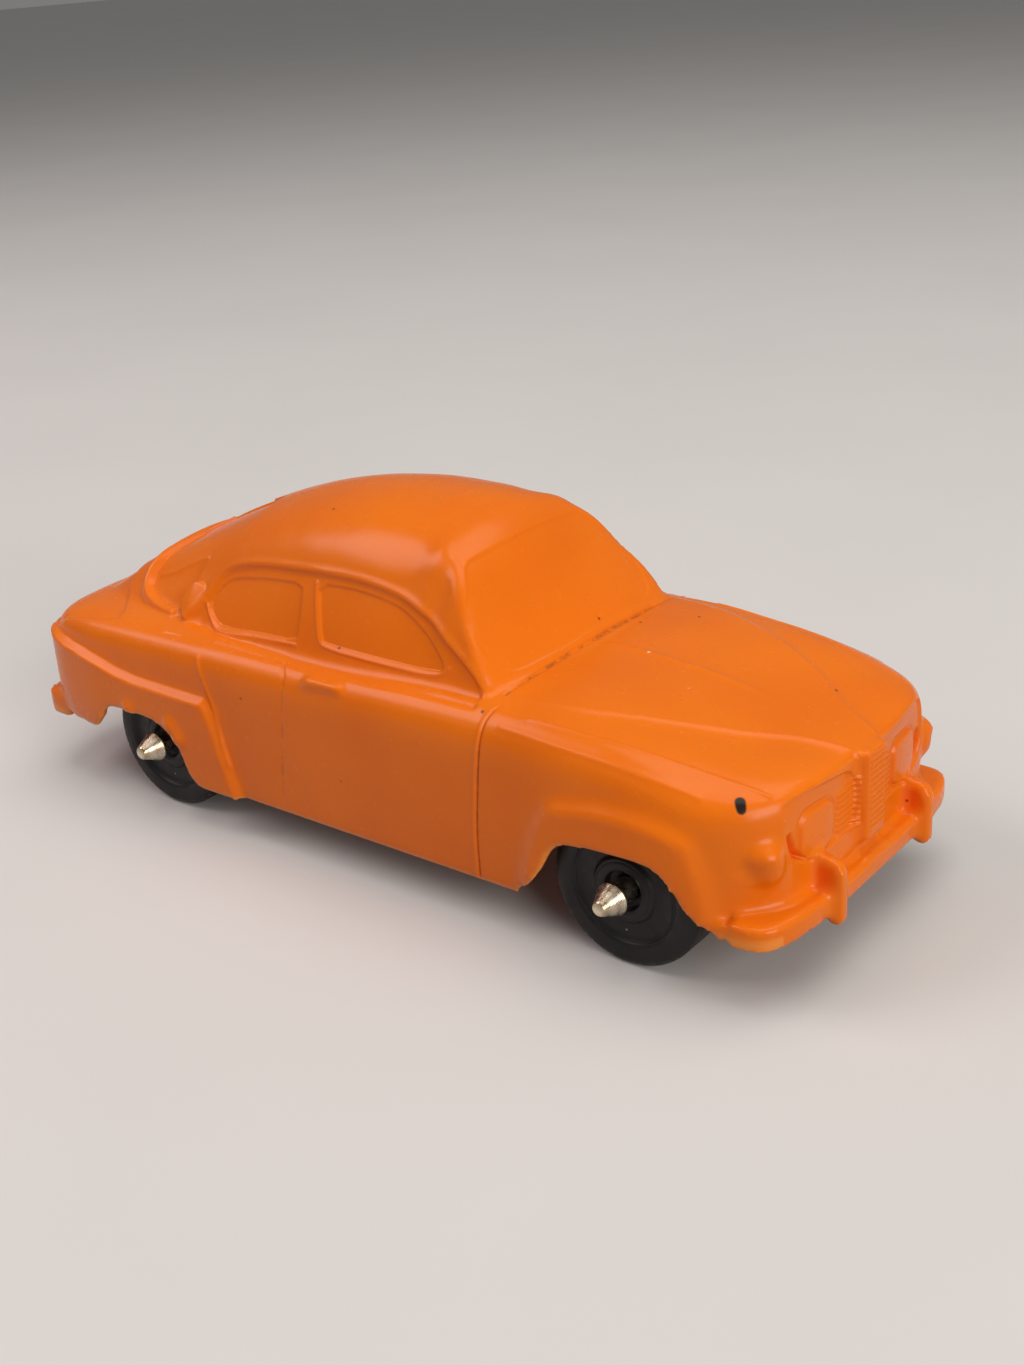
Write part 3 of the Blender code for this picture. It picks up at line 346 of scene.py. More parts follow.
def add_prism(bm, outline, place, low, high):
    """Add a closed prism: place(u, v, w) gives the point for outline point (u, v) at height w."""
    bottom = [bm.verts.new(place(u, v, low)) for u, v in outline]
    top = [bm.verts.new(place(u, v, high)) for u, v in outline]
    for i in range(len(outline)):
        j = (i + 1) % len(outline)
        bm.faces.new((bottom[i], bottom[j], top[j], top[i]))
    bm.faces.new(list(reversed(bottom)))
    bm.faces.new(top)


def add_fitting(bm, outline, side, near, far):
    """Add a prism with an (x, z) outline on one side of the car, near to far from its centre line."""
    add_prism(bm, outline, side_view, *sorted((side * near, side * far)))


def side_view(u, v, w):
    """Place for an (x, z) outline, with its height across the car."""
    return u, w, v


def add_box(bm, low, high):
    """Add a box between two corners."""
    (x0, y0, z0), (x1, y1, z1) = low, high
    add_prism(bm, [(x0, y0), (x1, y0), (x1, y1), (x0, y1)], lambda u, v, w: (u, v, w), z0, z1)


def add_bump(bm, middle, radii, sides):
    """Add an ellipsoid on one or both sides of the car."""
    for side in sides:
        made = bmesh.ops.create_uvsphere(bm, u_segments=40, v_segments=24, radius=1.0)
        for vert in made["verts"]:
            vert.co = Vector((middle[0], side * middle[1], middle[2])) + vert.co * Vector(radii)


def add_bumper(bm, reach, half_width, wrap, depth, low, high, end_rise):
    """Add a bar that curves back round the corners; end_rise lifts or lowers its ends."""
    sign = 1 if reach > 0 else -1
    outer = []
    inner = []
    for k in range(25):
        angle = math.pi / 2 * k / 24
        forward = math.cos(angle) ** 0.5
        outward = math.sin(angle) ** 0.5
        outer.append((reach - sign * wrap * (1 - forward), half_width * outward))
        inner.append((reach - sign * (depth + (wrap - depth) * (1 - forward)), (half_width - depth) * outward))
    inner[-1] = (outer[-1][0], inner[-1][1])
    half = outer + inner[::-1]
    outline = half + [(x, -y) for x, y in half[-2:0:-1]]

    def place(u, v, w):
        return u, v, w + end_rise * float(ramp(*BUMPER_END, abs(v)))

    add_prism(bm, outline, place, low, high)


def place_object(name, data):
    """Object in the scene with the mesh, light or camera given."""
    obj = bpy.data.objects.new(name, data)
    bpy.context.scene.collection.objects.link(obj)
    return obj


def mesh_object(name, bm):
    """Object in the scene from a bmesh, which is freed."""
    bmesh.ops.recalc_face_normals(bm, faces=bm.faces)
    mesh = bpy.data.meshes.new(name)
    bm.to_mesh(mesh)
    bm.free()
    return place_object(name, mesh)


def apply_modifiers(obj):
    """Give the object the mesh that its modifiers make."""
    bpy.context.view_layer.update()
    graph = bpy.context.evaluated_depsgraph_get()
    mesh = bpy.data.meshes.new_from_object(obj.evaluated_get(graph))
    obj.modifiers.clear()
    old = obj.data
    obj.data = mesh
    bpy.data.meshes.remove(old)


def fuse(obj, voxel):
    """Turn overlapping closed solids into one skin with softly rounded edges."""
    modifier = obj.modifiers.new("fused", "REMESH")
    modifier.mode = "VOXEL"
    modifier.voxel_size = voxel
    modifier.use_smooth_shade = True
    apply_modifiers(obj)


def combine(obj, other, operation):
    """Boolean of two closed skins; the other object is removed."""
    modifier = obj.modifiers.new("combined", "BOOLEAN")
    modifier.operation = operation
    modifier.object = other
    modifier.solver = "MANIFOLD"
    apply_modifiers(obj)
    bpy.data.objects.remove(other)


def vectors_of(rows, name):
    """One vector for each row of a mesh's data."""
    values = np.empty(len(rows) * 3)
    rows.foreach_get(name, values)
    return values.reshape(-1, 3)


def points_of(mesh):
    return vectors_of(mesh.vertices, "co")


def set_points(mesh, points):
    mesh.vertices.foreach_set("co", points.astype(np.float32).ravel())
    mesh.update()


def relax(mesh, rounds, mask=None):
    """Even out the surface without shrinking it, where the mask is not 0."""
    points = points_of(mesh)
    edges = np.empty(len(mesh.edges) * 2, np.int32)
    mesh.edges.foreach_get("vertices", edges)
    a, b = edges.reshape(-1, 2).T
    count = len(points)
    links = np.maximum(np.bincount(a, minlength=count) + np.bincount(b, minlength=count), 1)
    weight = np.ones(count) if mask is None else mask
    for _ in range(rounds):
        for factor in (0.55, -0.57):
            pull = np.stack([np.bincount(a, points[b, k], count) + np.bincount(b, points[a, k], count)
                             for k in range(3)], 1) / links[:, None] - points
            points += factor * weight[:, None] * pull
    set_points(mesh, points)


def rounded(path, closed=False, rounds=2):
    """Path with its corners cut, so that it runs smoothly; open ends stay where they are."""
    points = np.array(path, float)
    for _ in range(rounds):
        following = np.roll(points, -1, 0) if closed else points[1:]
        start = points if closed else points[:-1]
        cut = np.empty((2 * len(start), 2))
        cut[0::2] = 0.75 * start + 0.25 * following
        cut[1::2] = 0.25 * start + 0.75 * following
        points = cut if closed else np.vstack([points[:1], cut, points[-1:]])
    return points


def path_distance(path, u, v, closed=False):
    """Distance of each point (u, v) from a path, and below 0 inside a closed one."""
    path = np.asarray(path, float)
    low = path.min(0) - 4
    high = path.max(0) + 4
    near = (u > low[0]) & (u < high[0]) & (v > low[1]) & (v < high[1])
    pu, pv = u[near], v[near]
    best = np.full(len(pu), FAR)
    inside = np.zeros(len(pu), bool)
    ends = np.roll(path, -1, 0) if closed else path[1:]
    for (x0, y0), (x1, y1) in zip(path, ends):
        dx, dy = x1 - x0, y1 - y0
        t = np.clip(((pu - x0) * dx + (pv - y0) * dy) / max(dx * dx + dy * dy, 1e-12), 0, 1)
        best = np.minimum(best, np.hypot(pu - x0 - t * dx, pv - y0 - t * dy))
        if closed:
            crossing = (y0 > pv) != (y1 > pv)
            inside ^= crossing & (pu < x0 + (pv - y0) * dx / (dy if dy else 1e-12))
    result = np.full(len(u), FAR)
    result[near] = np.where(inside, -best, best)
    return result


def strand_distance(path, x, y, z):
    """Distance of each point from a line through points in space."""
    here = np.stack([x, y, z], 1)
    best = np.full(len(x), FAR)
    for start, end in zip(np.array(path[:-1]), np.array(path[1:])):
        along = end - start
        t = np.clip((here - start) @ along / (along @ along), 0.0, 1.0)
        best = np.minimum(best, np.linalg.norm(here - start - t[:, None] * along, axis=1))
    return best


def box_distance(middle, size, corner, u, v):
    """Distance from a rectangle with round corners, below 0 inside."""
    du = np.abs(u - middle[0]) - size[0] / 2 + corner
    dv = np.abs(v - middle[1]) - size[1] / 2 + corner
    return np.hypot(np.maximum(du, 0), np.maximum(dv, 0)) + np.minimum(np.maximum(du, dv), 0) - corner


def bell(distance, width):
    """1 on a line, fading to nothing about twice the width away."""
    return np.exp(-((distance / width) ** 2))


class Surface:
    """The skin's points and normals, with the side of the car folded on to the left half."""

    def __init__(self, mesh):
        self.points = points_of(mesh)
        self.normals = vectors_of(mesh.vertex_normals, "vector")
        self.x, self.y, self.z = self.points.T
        self.half_y = np.abs(self.y)
        self.nx, self.ny, self.nz = self.normals.T
        outward = self.ny * np.sign(self.y)
        self.flank = ramp(0.3, 0.5, outward) * (self.half_y > 8)
        self.sky = ramp(0.25, 0.45, self.nz)
        self.ahead = ramp(0.3, 0.55, self.nx) * (self.x > 41.5)
        self.screen = ramp(0.25, 0.45, self.nx) * (self.x > 2) * (self.x < 18) * (self.z > 21.6)
        self.hood = self.sky * (self.x > 13) * (self.z < 23)
        self.facing = {"side": self.flank, "top": self.sky, "front": self.ahead}
        self.plane = {"side": (self.x, self.z), "top": (self.x, self.half_y), "front": (self.half_y, self.z)}

    def line(self, view, path, closed=False):
        """Distance from a path drawn in one of the views."""
        distance = path_distance(path, *self.plane[view], closed)
        return np.where(self.facing[view] > 0, distance, FAR)


SHUT_LINES = [("side", DOOR_FRONT, 0.2, 0.13), ("side", DOOR_REAR, 0.06, 0.16), ("top", SCREEN_FOOT, 0.16, 0.16)]
SEAMS = [("side", QUARTER_SEAM, 0.16, 0.22), ("side", DOOR_FRONT_EDGE, 0.09, 0.16),
         ("side", FRONT_GLASS_RIM, 0.12, 0.18), ("side", REAR_GLASS_RIM, 0.12, 0.18), ("top", HOOD_RIDGE, 0.12, 0.35),
         ("top", HOOD_SHUT_LINE, 0.08, 0.17), ("top", FENDER_LINE, 0.08, 0.24), ("top", REAR_GLASS_RIB, 0.36, 0.4),
         ("top", REAR_GLASS_FOLD, 0.1, 0.25)]
PANES = [("side", FRONT_SIDE_GLASS, 0.2), ("side", REAR_SIDE_GLASS, 0.2), ("top", REAR_GLASS, 0.42)]
STEPS = [("side", SIDE_PANEL), ("top", BOOT_LID)]
NARROW = 0.25
RIDGE_FADE = (36.5, 30.0)

# Heights and depths of the relief
PANE_EDGE = 0.26
PANEL_DEPTH = 0.34
RAIL_LIP = 0.12
BOOT_STEP = 0.3
SCREEN_DEPTH = 0.12
REAR_LEDGE_LIP, REAR_LEDGE_FOOT = 0.14, 0.1
FRONT_LEDGE_LIP = 0.1
CREASE_LIP = 0.03
VENT_HEIGHT = 0.5
LAMP_CREASE_HEIGHT = 0.12
FACE_DEPTH = 0.3
LAMP_GROOVE, LAMP_HEIGHT, LAMP_CROWN = 0.12, 0.24, 0.14
POCKET_DEPTH = 0.9
SLAT_HEIGHT, BAR_HEIGHT = 0.22, 0.1

# Middle and half sizes of the shaded sides of the front overriders, where light glows through
GLOW_MIDDLE = (44.3, 8.05, 9.8)
GLOW_REACH = (0.7, 1.0, 1.0)


def bonnet_distance(surface):
    """How far each point lies outside the crease of the bonnet."""
    slope = curve(BONNET_CREASE, surface.x + 0.5) - curve(BONNET_CREASE, surface.x - 0.5)
    return (surface.half_y - curve(BONNET_CREASE, surface.x)) / np.hypot(1.0, slope)


def screen_distance(surface):
    """Distance from the edge of the windscreen's glass, below 0 inside."""
    return path_distance(rounded(SCREEN_GLASS + [(-1.0, 31.8), (-1.0, 23.1)], True), surface.half_y, surface.z, True)


def near_relief(surface):
    """Two masks of the skin: near any drawn line, and where the finest relief lies."""
    close = np.zeros(len(surface.x), bool)
    fine = np.zeros(len(surface.x), bool)
    for view, path, _, width in SHUT_LINES + SEAMS:
        distance = surface.line(view, rounded(path))
        close |= distance < width + 0.5
        if width < NARROW:
            fine |= distance < width + 0.2
    for view, path, _ in PANES:
        edge = np.abs(surface.line(view, rounded(path, True, 1), True))
        close |= edge < 0.55
        fine |= edge < 0.28
    for view, path in STEPS:
        close |= np.abs(surface.line(view, rounded(path, True), True)) < 0.55
    ledge = np.minimum(curve(WING_LINE, surface.x) - surface.z, curve(REAR_WING_FRONT, surface.z) - surface.x)
    close |= (ledge > -0.5) & (ledge < 1.4) & (surface.half_y > WING_SIDE_Y) & (surface.z > 7)
    close |= (np.abs(screen_distance(surface)) < 0.6) & (surface.screen > 0)
    crease = np.abs(bonnet_distance(surface) - 0.3)
    close |= (crease < 0.8) & (surface.hood > 0) & (surface.x > 15)
    vent = np.hypot(surface.x - VENT_MIDDLE[0], surface.z - VENT_MIDDLE[1])
    close |= (vent < VENT_RADIUS + 0.6) & (surface.flank > 0)
    face = (surface.ahead > 0) & (surface.half_y < 13.4) & (surface.z > 9.2) & (surface.z < 18.8)
    chip = strand_distance(CHIP_ENDS, surface.x, surface.y, surface.z) < CHIP_RADIUS + 0.4
    lamp = np.abs(box_distance(LAMP_MIDDLE, LAMP_SIZE, LAMP_CORNER, surface.half_y, surface.z)) < 0.5
    return close | face | chip, fine | chip | face & ((surface.half_y < 5.2) | lamp)


def refine(mesh, mask):
    """Split every edge whose two ends are in the mask."""
    bm = bmesh.new()
    bm.from_mesh(mesh)
    edges = [e for e in bm.edges if mask[e.verts[0].index] and mask[e.verts[1].index]]
    bmesh.ops.subdivide_edges(bm, edges=edges, cuts=1, use_grid_fill=True)
    bm.to_mesh(mesh)
    bm.free()
    mesh.update()


def draw_relief(mesh):
    """Raise and sink the windows, shut lines, creases, lamps and grille; return where dirt and painted shade gather and
    where a red glow is painted.
    """
    s = Surface(mesh)
    lift = np.zeros(len(s.x))
    dirt_and_shade = np.zeros(len(s.x))
    for view, path, depth, width in SHUT_LINES:
        mark = bell(s.line(view, rounded(path)), width) * s.facing[view]
        lift -= depth * mark
        # Dirt in the foot of the screen; the dark in the door lines is painted shade
        dirt_and_shade = np.maximum(dirt_and_shade, mark * (1.0 if path is SCREEN_FOOT else 0.5))
    for view, path, height, width in SEAMS:
        fade = ramp(*RIDGE_FADE, s.x) if path is HOOD_RIDGE else 1.0
        lift += height * bell(s.line(view, rounded(path)), width) * s.facing[view] * fade
    for view, path, depth in PANES:
        inside = -s.line(view, rounded(path, True, 1), True)
        lift -= depth * ramp(-PANE_EDGE / 2, PANE_EDGE / 2, inside) * s.facing[view]
    # The wings' ledges have a hollow foot and a sharp lip
    below = curve(WING_LINE, s.x) - s.z
    wing = s.flank * (s.half_y > WING_SIDE_Y)
    rear = np.minimum(below, curve(REAR_WING_FRONT, s.z) - s.x)
    lift += (REAR_LEDGE_LIP * bell(rear - WING_LEDGE, 0.3) - REAR_LEDGE_FOOT * bell(rear, 0.3)) * wing
    front = np.minimum(below, s.x - curve(FRONT_WING_BACK, s.z)) * (s.x > 15)
    lift += FRONT_LEDGE_LIP * bell(front - 1.5, 0.6) * wing * ramp(38, 35, s.x)
    # The whole glazed side lies under the roof rail and runs down to the shoulder
    panel = -s.line("side", rounded(SIDE_PANEL, True), True)
    cabin = s.flank * ramp(16.0, 15.5, s.half_y)
    lift -= PANEL_DEPTH * ramp(-0.2, 0.3, panel) * cabin
    lift += RAIL_LIP * bell(panel + 0.35, 0.28) * ramp(20.0, 22.0, s.z) * cabin
    boot = -s.line("top", rounded(BOOT_LID, True), True)
    lift -= BOOT_STEP * ramp(-0.2, 0.2, boot) * s.sky * ramp(24.0, 23.0, s.z)
    lift -= SCREEN_DEPTH * ramp(-0.15, 0.15, -screen_distance(s)) * s.screen
    # Crease of the bonnet, with a hollow outside it
    beside = bonnet_distance(s)
    outside = np.maximum(beside, 0) / HOLLOW_WIDTH
    along = s.hood * ramp(14, 18, s.x)
    lift -= BONNET_HOLLOW * outside * np.exp(1 - outside) * along * ramp(15.5, 14.5, s.half_y)
    lift += CREASE_LIP * bell(beside, 0.16) * along
    # Half-moon vent behind the side windows: a scoop with a sharp rear edge
    du = s.x - VENT_MIDDLE[0]
    vent = np.hypot(du, s.z - VENT_MIDDLE[1])
    lift += VENT_HEIGHT * ramp(VENT_RADIUS + 0.1, VENT_RADIUS - 0.15, vent) * ramp(1.6, -0.8, du) * s.flank
    # Painted shade along the sharp rear edge of the vent
    dirt_and_shade = np.maximum(dirt_and_shade, 0.5 * bell(vent - VENT_RADIUS - 0.1, 0.15) * ramp(0.2, -0.6, du) * s.flank)
    lift += LAMP_CREASE_HEIGHT * bell(strand_distance(LAMP_CREASE, s.x, s.half_y, s.z), 0.2) * (s.half_y > 12.5)
    forward = face_relief(s)
    points = s.points + s.normals * lift[:, None]
    points[:, 0] += forward
    set_points(mesh, points)
    # Recesses and the shaded sides of the front overriders, where a red glow is painted
    beyond = np.full(len(s.x), -FAR)
    for value, middle, reach in zip((s.x, s.half_y, s.z), GLOW_MIDDLE, GLOW_REACH):
        beyond = np.maximum(beyond, np.abs(value - middle) - reach)
    return dirt_and_shade, np.maximum(ramp(-0.3, -0.8, forward), ramp(0.5, -0.4, beyond))


def chip_mask(s):
    """The dark chip above the near headlamp."""
    return ramp(CHIP_RADIUS, 0.7 * CHIP_RADIUS, strand_distance(CHIP_ENDS, s.x, s.y, s.z))


def face_relief(s):
    """Movement along X that makes the lamps, the slats and the bars of the grille block."""
    panel = -path_distance(rounded(FACE_PANEL, True), s.half_y, s.z, True)
    move = -FACE_DEPTH * ramp(-0.1, 0.25, panel)
    lamp = -box_distance(LAMP_MIDDLE, LAMP_SIZE, LAMP_CORNER, s.half_y, s.z)
    move -= LAMP_GROOVE * bell(lamp + 0.15, 0.18)
    crown = 1 - ((s.half_y - LAMP_MIDDLE[0]) ** 2 + (s.z - LAMP_MIDDLE[1]) ** 2) / 7
    move += (LAMP_HEIGHT + LAMP_CROWN * crown) * ramp(-0.1, 0.25, lamp)
    pocket = -path_distance(rounded(POCKET, True), s.half_y, s.z, True)
    move -= POCKET_DEPTH * ramp(-0.2, 0.45, pocket)
    # Level slats on both sides of the middle block, under a top edge that falls outwards
    slat_top = 16.35 - 0.3 * (s.half_y - 2.1)
    slats = (ramp(1.8, 2.1, s.half_y) * ramp(5.0, 4.7, s.half_y) * ramp(11.2, 11.5, s.z)
             * ramp(slat_top + 0.2, slat_top - 0.2, s.z))
    wave = 0.5 + 0.5 * np.cos(2 * math.pi * (s.z - 11.0) / SLAT_PITCH)
    move += SLAT_HEIGHT * wave * slats
    block = ramp(1.45, 1.2, s.half_y) * ramp(10.6, 10.9, s.z) * ramp(18.0, 17.7, s.z) * (s.x > 44.0)
    move += BAR_HEIGHT * (np.cos(2 * math.pi * (s.z - 10.3) / SLAT_PITCH) - 0.6) * block
    return np.where(s.x > 42.0, move, 0.0) * s.ahead


def outer_solids():
    """The body's outside as overlapping closed solids, fused into one skin."""
    bm = bmesh.new()
    body_stations = [*np.linspace(-48.3, -44.0, 16), *np.linspace(-43.4, 35.6, 80), *np.linspace(36.0, 43.7, 34)]
    cabin_stations = [*np.linspace(-46.5, 2.0, 50), *np.linspace(2.6, 18.0, 32)]
    add_loft(bm, body_stations, body_half_section, 0.0, NOSE_BOW, 26)
    add_loft(bm, cabin_stations, cabin_half_section, 0.0, SCREEN_BOW, 18)
    add_box(bm, *GRILLE_BLOCK)
    for bumper in BUMPERS:
        add_bumper(bm, *bumper)
    for side in BOTH_SIDES:
        for outline, near, far in SIDE_FITTINGS:
            add_fitting(bm, outline, side, near, far)
    for lump in LUMPS:
        add_bump(bm, *lump)
    # A thin tongue of vinyl at the foot of the near front arch
    add_prism(bm, MOULD_TONGUE, side_view, *TONGUE_Y)
    return mesh_object("body_outside", bm)


def inner_cutter():
    """The hollow inside the body and the wheel arches."""
    bm = bmesh.new()
    add_loft(bm, [*np.linspace(-48.3, -40.0, 10), *np.linspace(-37, 34, 28), *np.linspace(36, 43.7, 10)],
             body_half_section, WALL, NOSE_BOW, 12)
    add_loft(bm, [*np.linspace(-46.5, 2.0, 24), *np.linspace(3.5, 18.0, 14)], cabin_half_section, WALL, SCREEN_BOW, 10)
    for outline in (FRONT_ARCH, REAR_ARCH):
        path = [tuple(point) for point in rounded(outline, True, 2)]
        for side in BOTH_SIDES:
            add_fitting(bm, path, side, *ARCH_Y)
    return mesh_object("body_inside", bm)


def bearing_webs(outside):
    """Plates inside the shell that carry the axles, cut to the inside of the skin."""
    bm = bmesh.new()
    for x in (AXLE_X, -AXLE_X):
        outline = [(x + WEB_HALF_LENGTH, WEB_TOP), (x + WEB_HALF_LENGTH, WEB_FOOT)]
        for angle in np.radians(np.linspace(20, -200, 19)):
            outline.append((x + WEB_EYE * math.cos(angle), AXLE_Z + WEB_EYE * math.sin(angle)))
        outline += [(x - WEB_HALF_LENGTH, WEB_FOOT), (x - WEB_HALF_LENGTH, WEB_TOP)]
        for side in BOTH_SIDES:
            add_fitting(bm, outline, side, *WEB_Y)
    webs = mesh_object("webs", bm)
    combine(webs, place_object("web_limit", outside.data.copy()), "INTERSECT")
    bm = bmesh.new()
    for x in (AXLE_X, -AXLE_X):
        made = bmesh.ops.create_cone(bm, cap_ends=True, segments=48, radius1=WEB_BORE, radius2=WEB_BORE,
                                    depth=BORE_LENGTH)
        for vert in made["verts"]:
            vert.co = Vector((vert.co.x + x, vert.co.z, vert.co.y + AXLE_Z))
    combine(webs, mesh_object("bores", bm), "DIFFERENCE")
    return webs


def inner_mask(mesh, tree):
    """Which points lie deep enough inside the outer skin to be out of sight."""
    inner = np.zeros(len(mesh.vertices), bool)
    for i, point in enumerate(points_of(mesh)):
        inner[i] = tree.find_nearest(Vector(point), SKIN_DEPTH)[0] is None
    return inner


def thin_inside(obj, inner, share):
    """Take most of the faces out of the inside, where nothing fine is drawn."""
    group = obj.vertex_groups.new(name="inside")
    group.add(np.flatnonzero(inner).tolist(), 1.0, "REPLACE")
    modifier = obj.modifiers.new("thinned", "DECIMATE")
    modifier.ratio = share
    modifier.vertex_group = "inside"
    apply_modifiers(obj)
    obj.vertex_groups.clear()


def store(mesh, name, values):
    """Keep one number for each point, for the material to read."""
    layer = mesh.attributes.new(name, "FLOAT", "POINT")
    layer.data.foreach_set("value", values.astype(np.float32))


def rim_light_mask(surface):
    """Where a lighter rim is painted, as light glowing through the vinyl's thin edge: the arches and the sill."""
    rim_light = np.zeros(len(surface.x))
    for outline in (FRONT_ARCH, REAR_ARCH):
        distance = path_distance(rounded(outline, True), surface.x, surface.z, True)
        rim_light = np.maximum(rim_light, ramp(0.55, 0.0, np.abs(distance)) * (surface.half_y > WING_SIDE_Y))
    sill = surface.z - curve(BODY_BOTTOM, surface.x)
    return np.maximum(rim_light, ramp(0.5, 0.1, sill) * (surface.half_y > WING_SIDE_Y))


SKIN_GRAIN, HOLLOW_GRAIN = 0.75, 1.2
INSIDE_SHARE = 0.6


def build_body(voxel):
    """The one-piece vinyl body, with all its relief in the mesh."""
    outside = outer_solids()
    fuse(outside, SKIN_GRAIN * voxel)
    tree = BVHTree.FromObject(outside, bpy.context.evaluated_depsgraph_get())
    webs = bearing_webs(outside)
    hollow = inner_cutter()
    fuse(hollow, HOLLOW_GRAIN * voxel)
    combine(outside, hollow, "DIFFERENCE")
    bm = bmesh.new()
    for part in (outside, webs):
        bm.from_mesh(part.data)
        bpy.data.objects.remove(part)
    body = mesh_object("vinyl_body", bm)
    fuse(body, voxel)
    relax(body.data, 2)
    thin_inside(body, inner_mask(body.data, tree), INSIDE_SHARE)
    for level in (0, 1):
        refine(body.data, near_relief(Surface(body.data))[level])
        relax(body.data, 2, near_relief(Surface(body.data))[level].astype(float))
    dirt_and_shade, pocket = draw_relief(body.data)
    surface = Surface(body.data)
    # For the material: dirt and painted shade in the grooves, a painted red glow in the recesses, a painted lighter rim
    # on the thin edges, and the chip
    marks = {"dirt_and_shade": dirt_and_shade, "pocket": pocket, "rim_light": rim_light_mask(surface), "chip": chip_mask(surface)}
    for name, values in marks.items():
        store(body.data, name, values)
    set_points(body.data, (points_of(body.data) + (LENGTH_OFFSET, 0, 0)) * MM)
    body.data.shade_smooth()
    return body


def turned(name, profile, steps, notch=None):
    """Ring turned about its own Z axis from (radius, height) points; notch moves the points by radius and angle."""
    profile = np.array(profile, float)
    angles = np.linspace(0, 2 * math.pi, steps, endpoint=False)
    radius, turn = np.meshgrid(profile[:, 0], angles, indexing="ij")
    height = np.broadcast_to(profile[:, 1:2], radius.shape).copy()
    if notch:
        radius, height = notch(radius, height, turn)
    points = np.stack([radius * np.cos(turn), radius * np.sin(turn), height], -1).reshape(-1, 3)
    faces = []
    rows = len(profile)
    for i in range(rows):
        k = (i + 1) % rows
        for j in range(steps):
            m = (j + 1) % steps
            faces.append((i * steps + j, i * steps + m, k * steps + m, k * steps + j))
    mesh = bpy.data.meshes.new(name)
    mesh.from_pydata((points * MM).tolist(), [], faces)
    bm = bmesh.new()
    bm.from_mesh(mesh)
    bmesh.ops.remove_doubles(bm, verts=bm.verts, dist=1e-7)
    bmesh.ops.recalc_face_normals(bm, faces=bm.faces)
    bm.to_mesh(mesh)
    bm.free()
    mesh.shade_smooth()
    mesh.set_sharp_from_angle(angle=math.radians(50))
    return place_object(name, mesh)


def across(x, y, side):
    """Place on an axle line, in metres, with the piece's own Z pointing out to one side of the car."""
    return Matrix.Translation((x, y, AXLE_Z * MM)) @ Matrix.Rotation(-side * math.pi / 2, 4, "X")


def new_material(name):
    """Material with its Principled shader, ready for nodes."""
    material = bpy.data.materials.new(name)
    material.use_nodes = True
    return material, material.node_tree, material.node_tree.nodes["Principled BSDF"]


class NodeMaker:
    """Short ways to add nodes to one material."""

    def __init__(self, tree):
        self.tree = tree
        self.coordinates = tree.nodes.new("ShaderNodeTexCoord").outputs["Object"]

    def link(self, source, target):
        self.tree.links.new(source, target)

    def noise(self, size, detail=3.0, roughness=0.5):
        """Noise whose grains are about size metres across."""
        node = self.tree.nodes.new("ShaderNodeTexNoise")
        node.inputs["Scale"].default_value = 1 / size
        node.inputs["Detail"].default_value = detail
        node.inputs["Roughness"].default_value = roughness
        self.link(self.coordinates, node.inputs["Vector"])
        return node.outputs["Fac"]

    def attribute(self, name):
        node = self.tree.nodes.new("ShaderNodeAttribute")
        node.attribute_name = name
        return node.outputs["Fac"]

    def spread(self, value, low, high, to_low=0.0, to_high=1.0):
        """Map low..high of a value to another range, clamped."""
        node = self.tree.nodes.new("ShaderNodeMapRange")
        for socket, number in zip(("From Min", "From Max", "To Min", "To Max"), (low, high, to_low, to_high)):
            node.inputs[socket].default_value = number
        self.link(value, node.inputs["Value"])
        return node.outputs["Result"]

    def maths(self, operation, a, b):
        node = self.tree.nodes.new("ShaderNodeMath")
        node.operation = operation
        for socket, value in zip(node.inputs, (a, b)):
            if isinstance(value, (int, float)):
                socket.default_value = value
            else:
                self.link(value, socket)
        return node.outputs[0]

    def mix(self, amount, a, b):
        """Mix two colours, each a socket or a colour."""
        node = self.tree.nodes.new("ShaderNodeMix")
        node.data_type = "RGBA"
        self.link(amount, node.inputs["Factor"])
        for socket, value in ((node.inputs[6], a), (node.inputs[7], b)):
            if isinstance(value, bpy.types.NodeSocket):
                self.link(value, socket)
            else:
                socket.default_value = (*value, 1.0)
        return node.outputs[2]

    def bump(self, height, distance, strength=1.0, normal=None):
        node = self.tree.nodes.new("ShaderNodeBump")
        node.inputs["Distance"].default_value = distance
        node.inputs["Strength"].default_value = strength
        self.link(height, node.inputs["Height"])
        if normal is not None:
            self.link(normal, node.inputs["Normal"])
        return node.outputs["Normal"]

    def specks(self, spacing, radius, share):
        """Sparse dots: 1 inside a dot; share is how many cells have one."""
        node = self.tree.nodes.new("ShaderNodeTexVoronoi")
        node.inputs["Scale"].default_value = 1 / spacing
        self.link(self.coordinates, node.inputs["Vector"])
        split = self.tree.nodes.new("ShaderNodeSeparateColor")
        self.link(node.outputs["Color"], split.inputs["Color"])
        chosen = self.spread(split.outputs[0], 1 - share, 1 - share + 0.01)
        dot = self.spread(node.outputs["Distance"], radius / spacing, 0.6 * radius / spacing)
        return self.maths("MULTIPLY", chosen, dot)


# Colours that the finishes and the painted light add to those that a user may change
RIM_LIGHT_ORANGE = (0.95, 0.42, 0.1)
PAINTED_GLOW_RED = (0.86, 0.1, 0.01)
DARK_SPECK = (0.25, 0.04, 0.01)
PALE_SPECK = (0.95, 0.62, 0.4)
CHIP_BLACK = (0.02, 0.012, 0.01)
SMEAR_GREY = (0.03, 0.031, 0.034)
DUST_GREY = (0.28, 0.27, 0.25)
STEEL_STAIN = (0.42, 0.32, 0.19)
FLOOR_BOUNCE = (0.34, 0.26, 0.18)
TURNED_RINGS = 2600


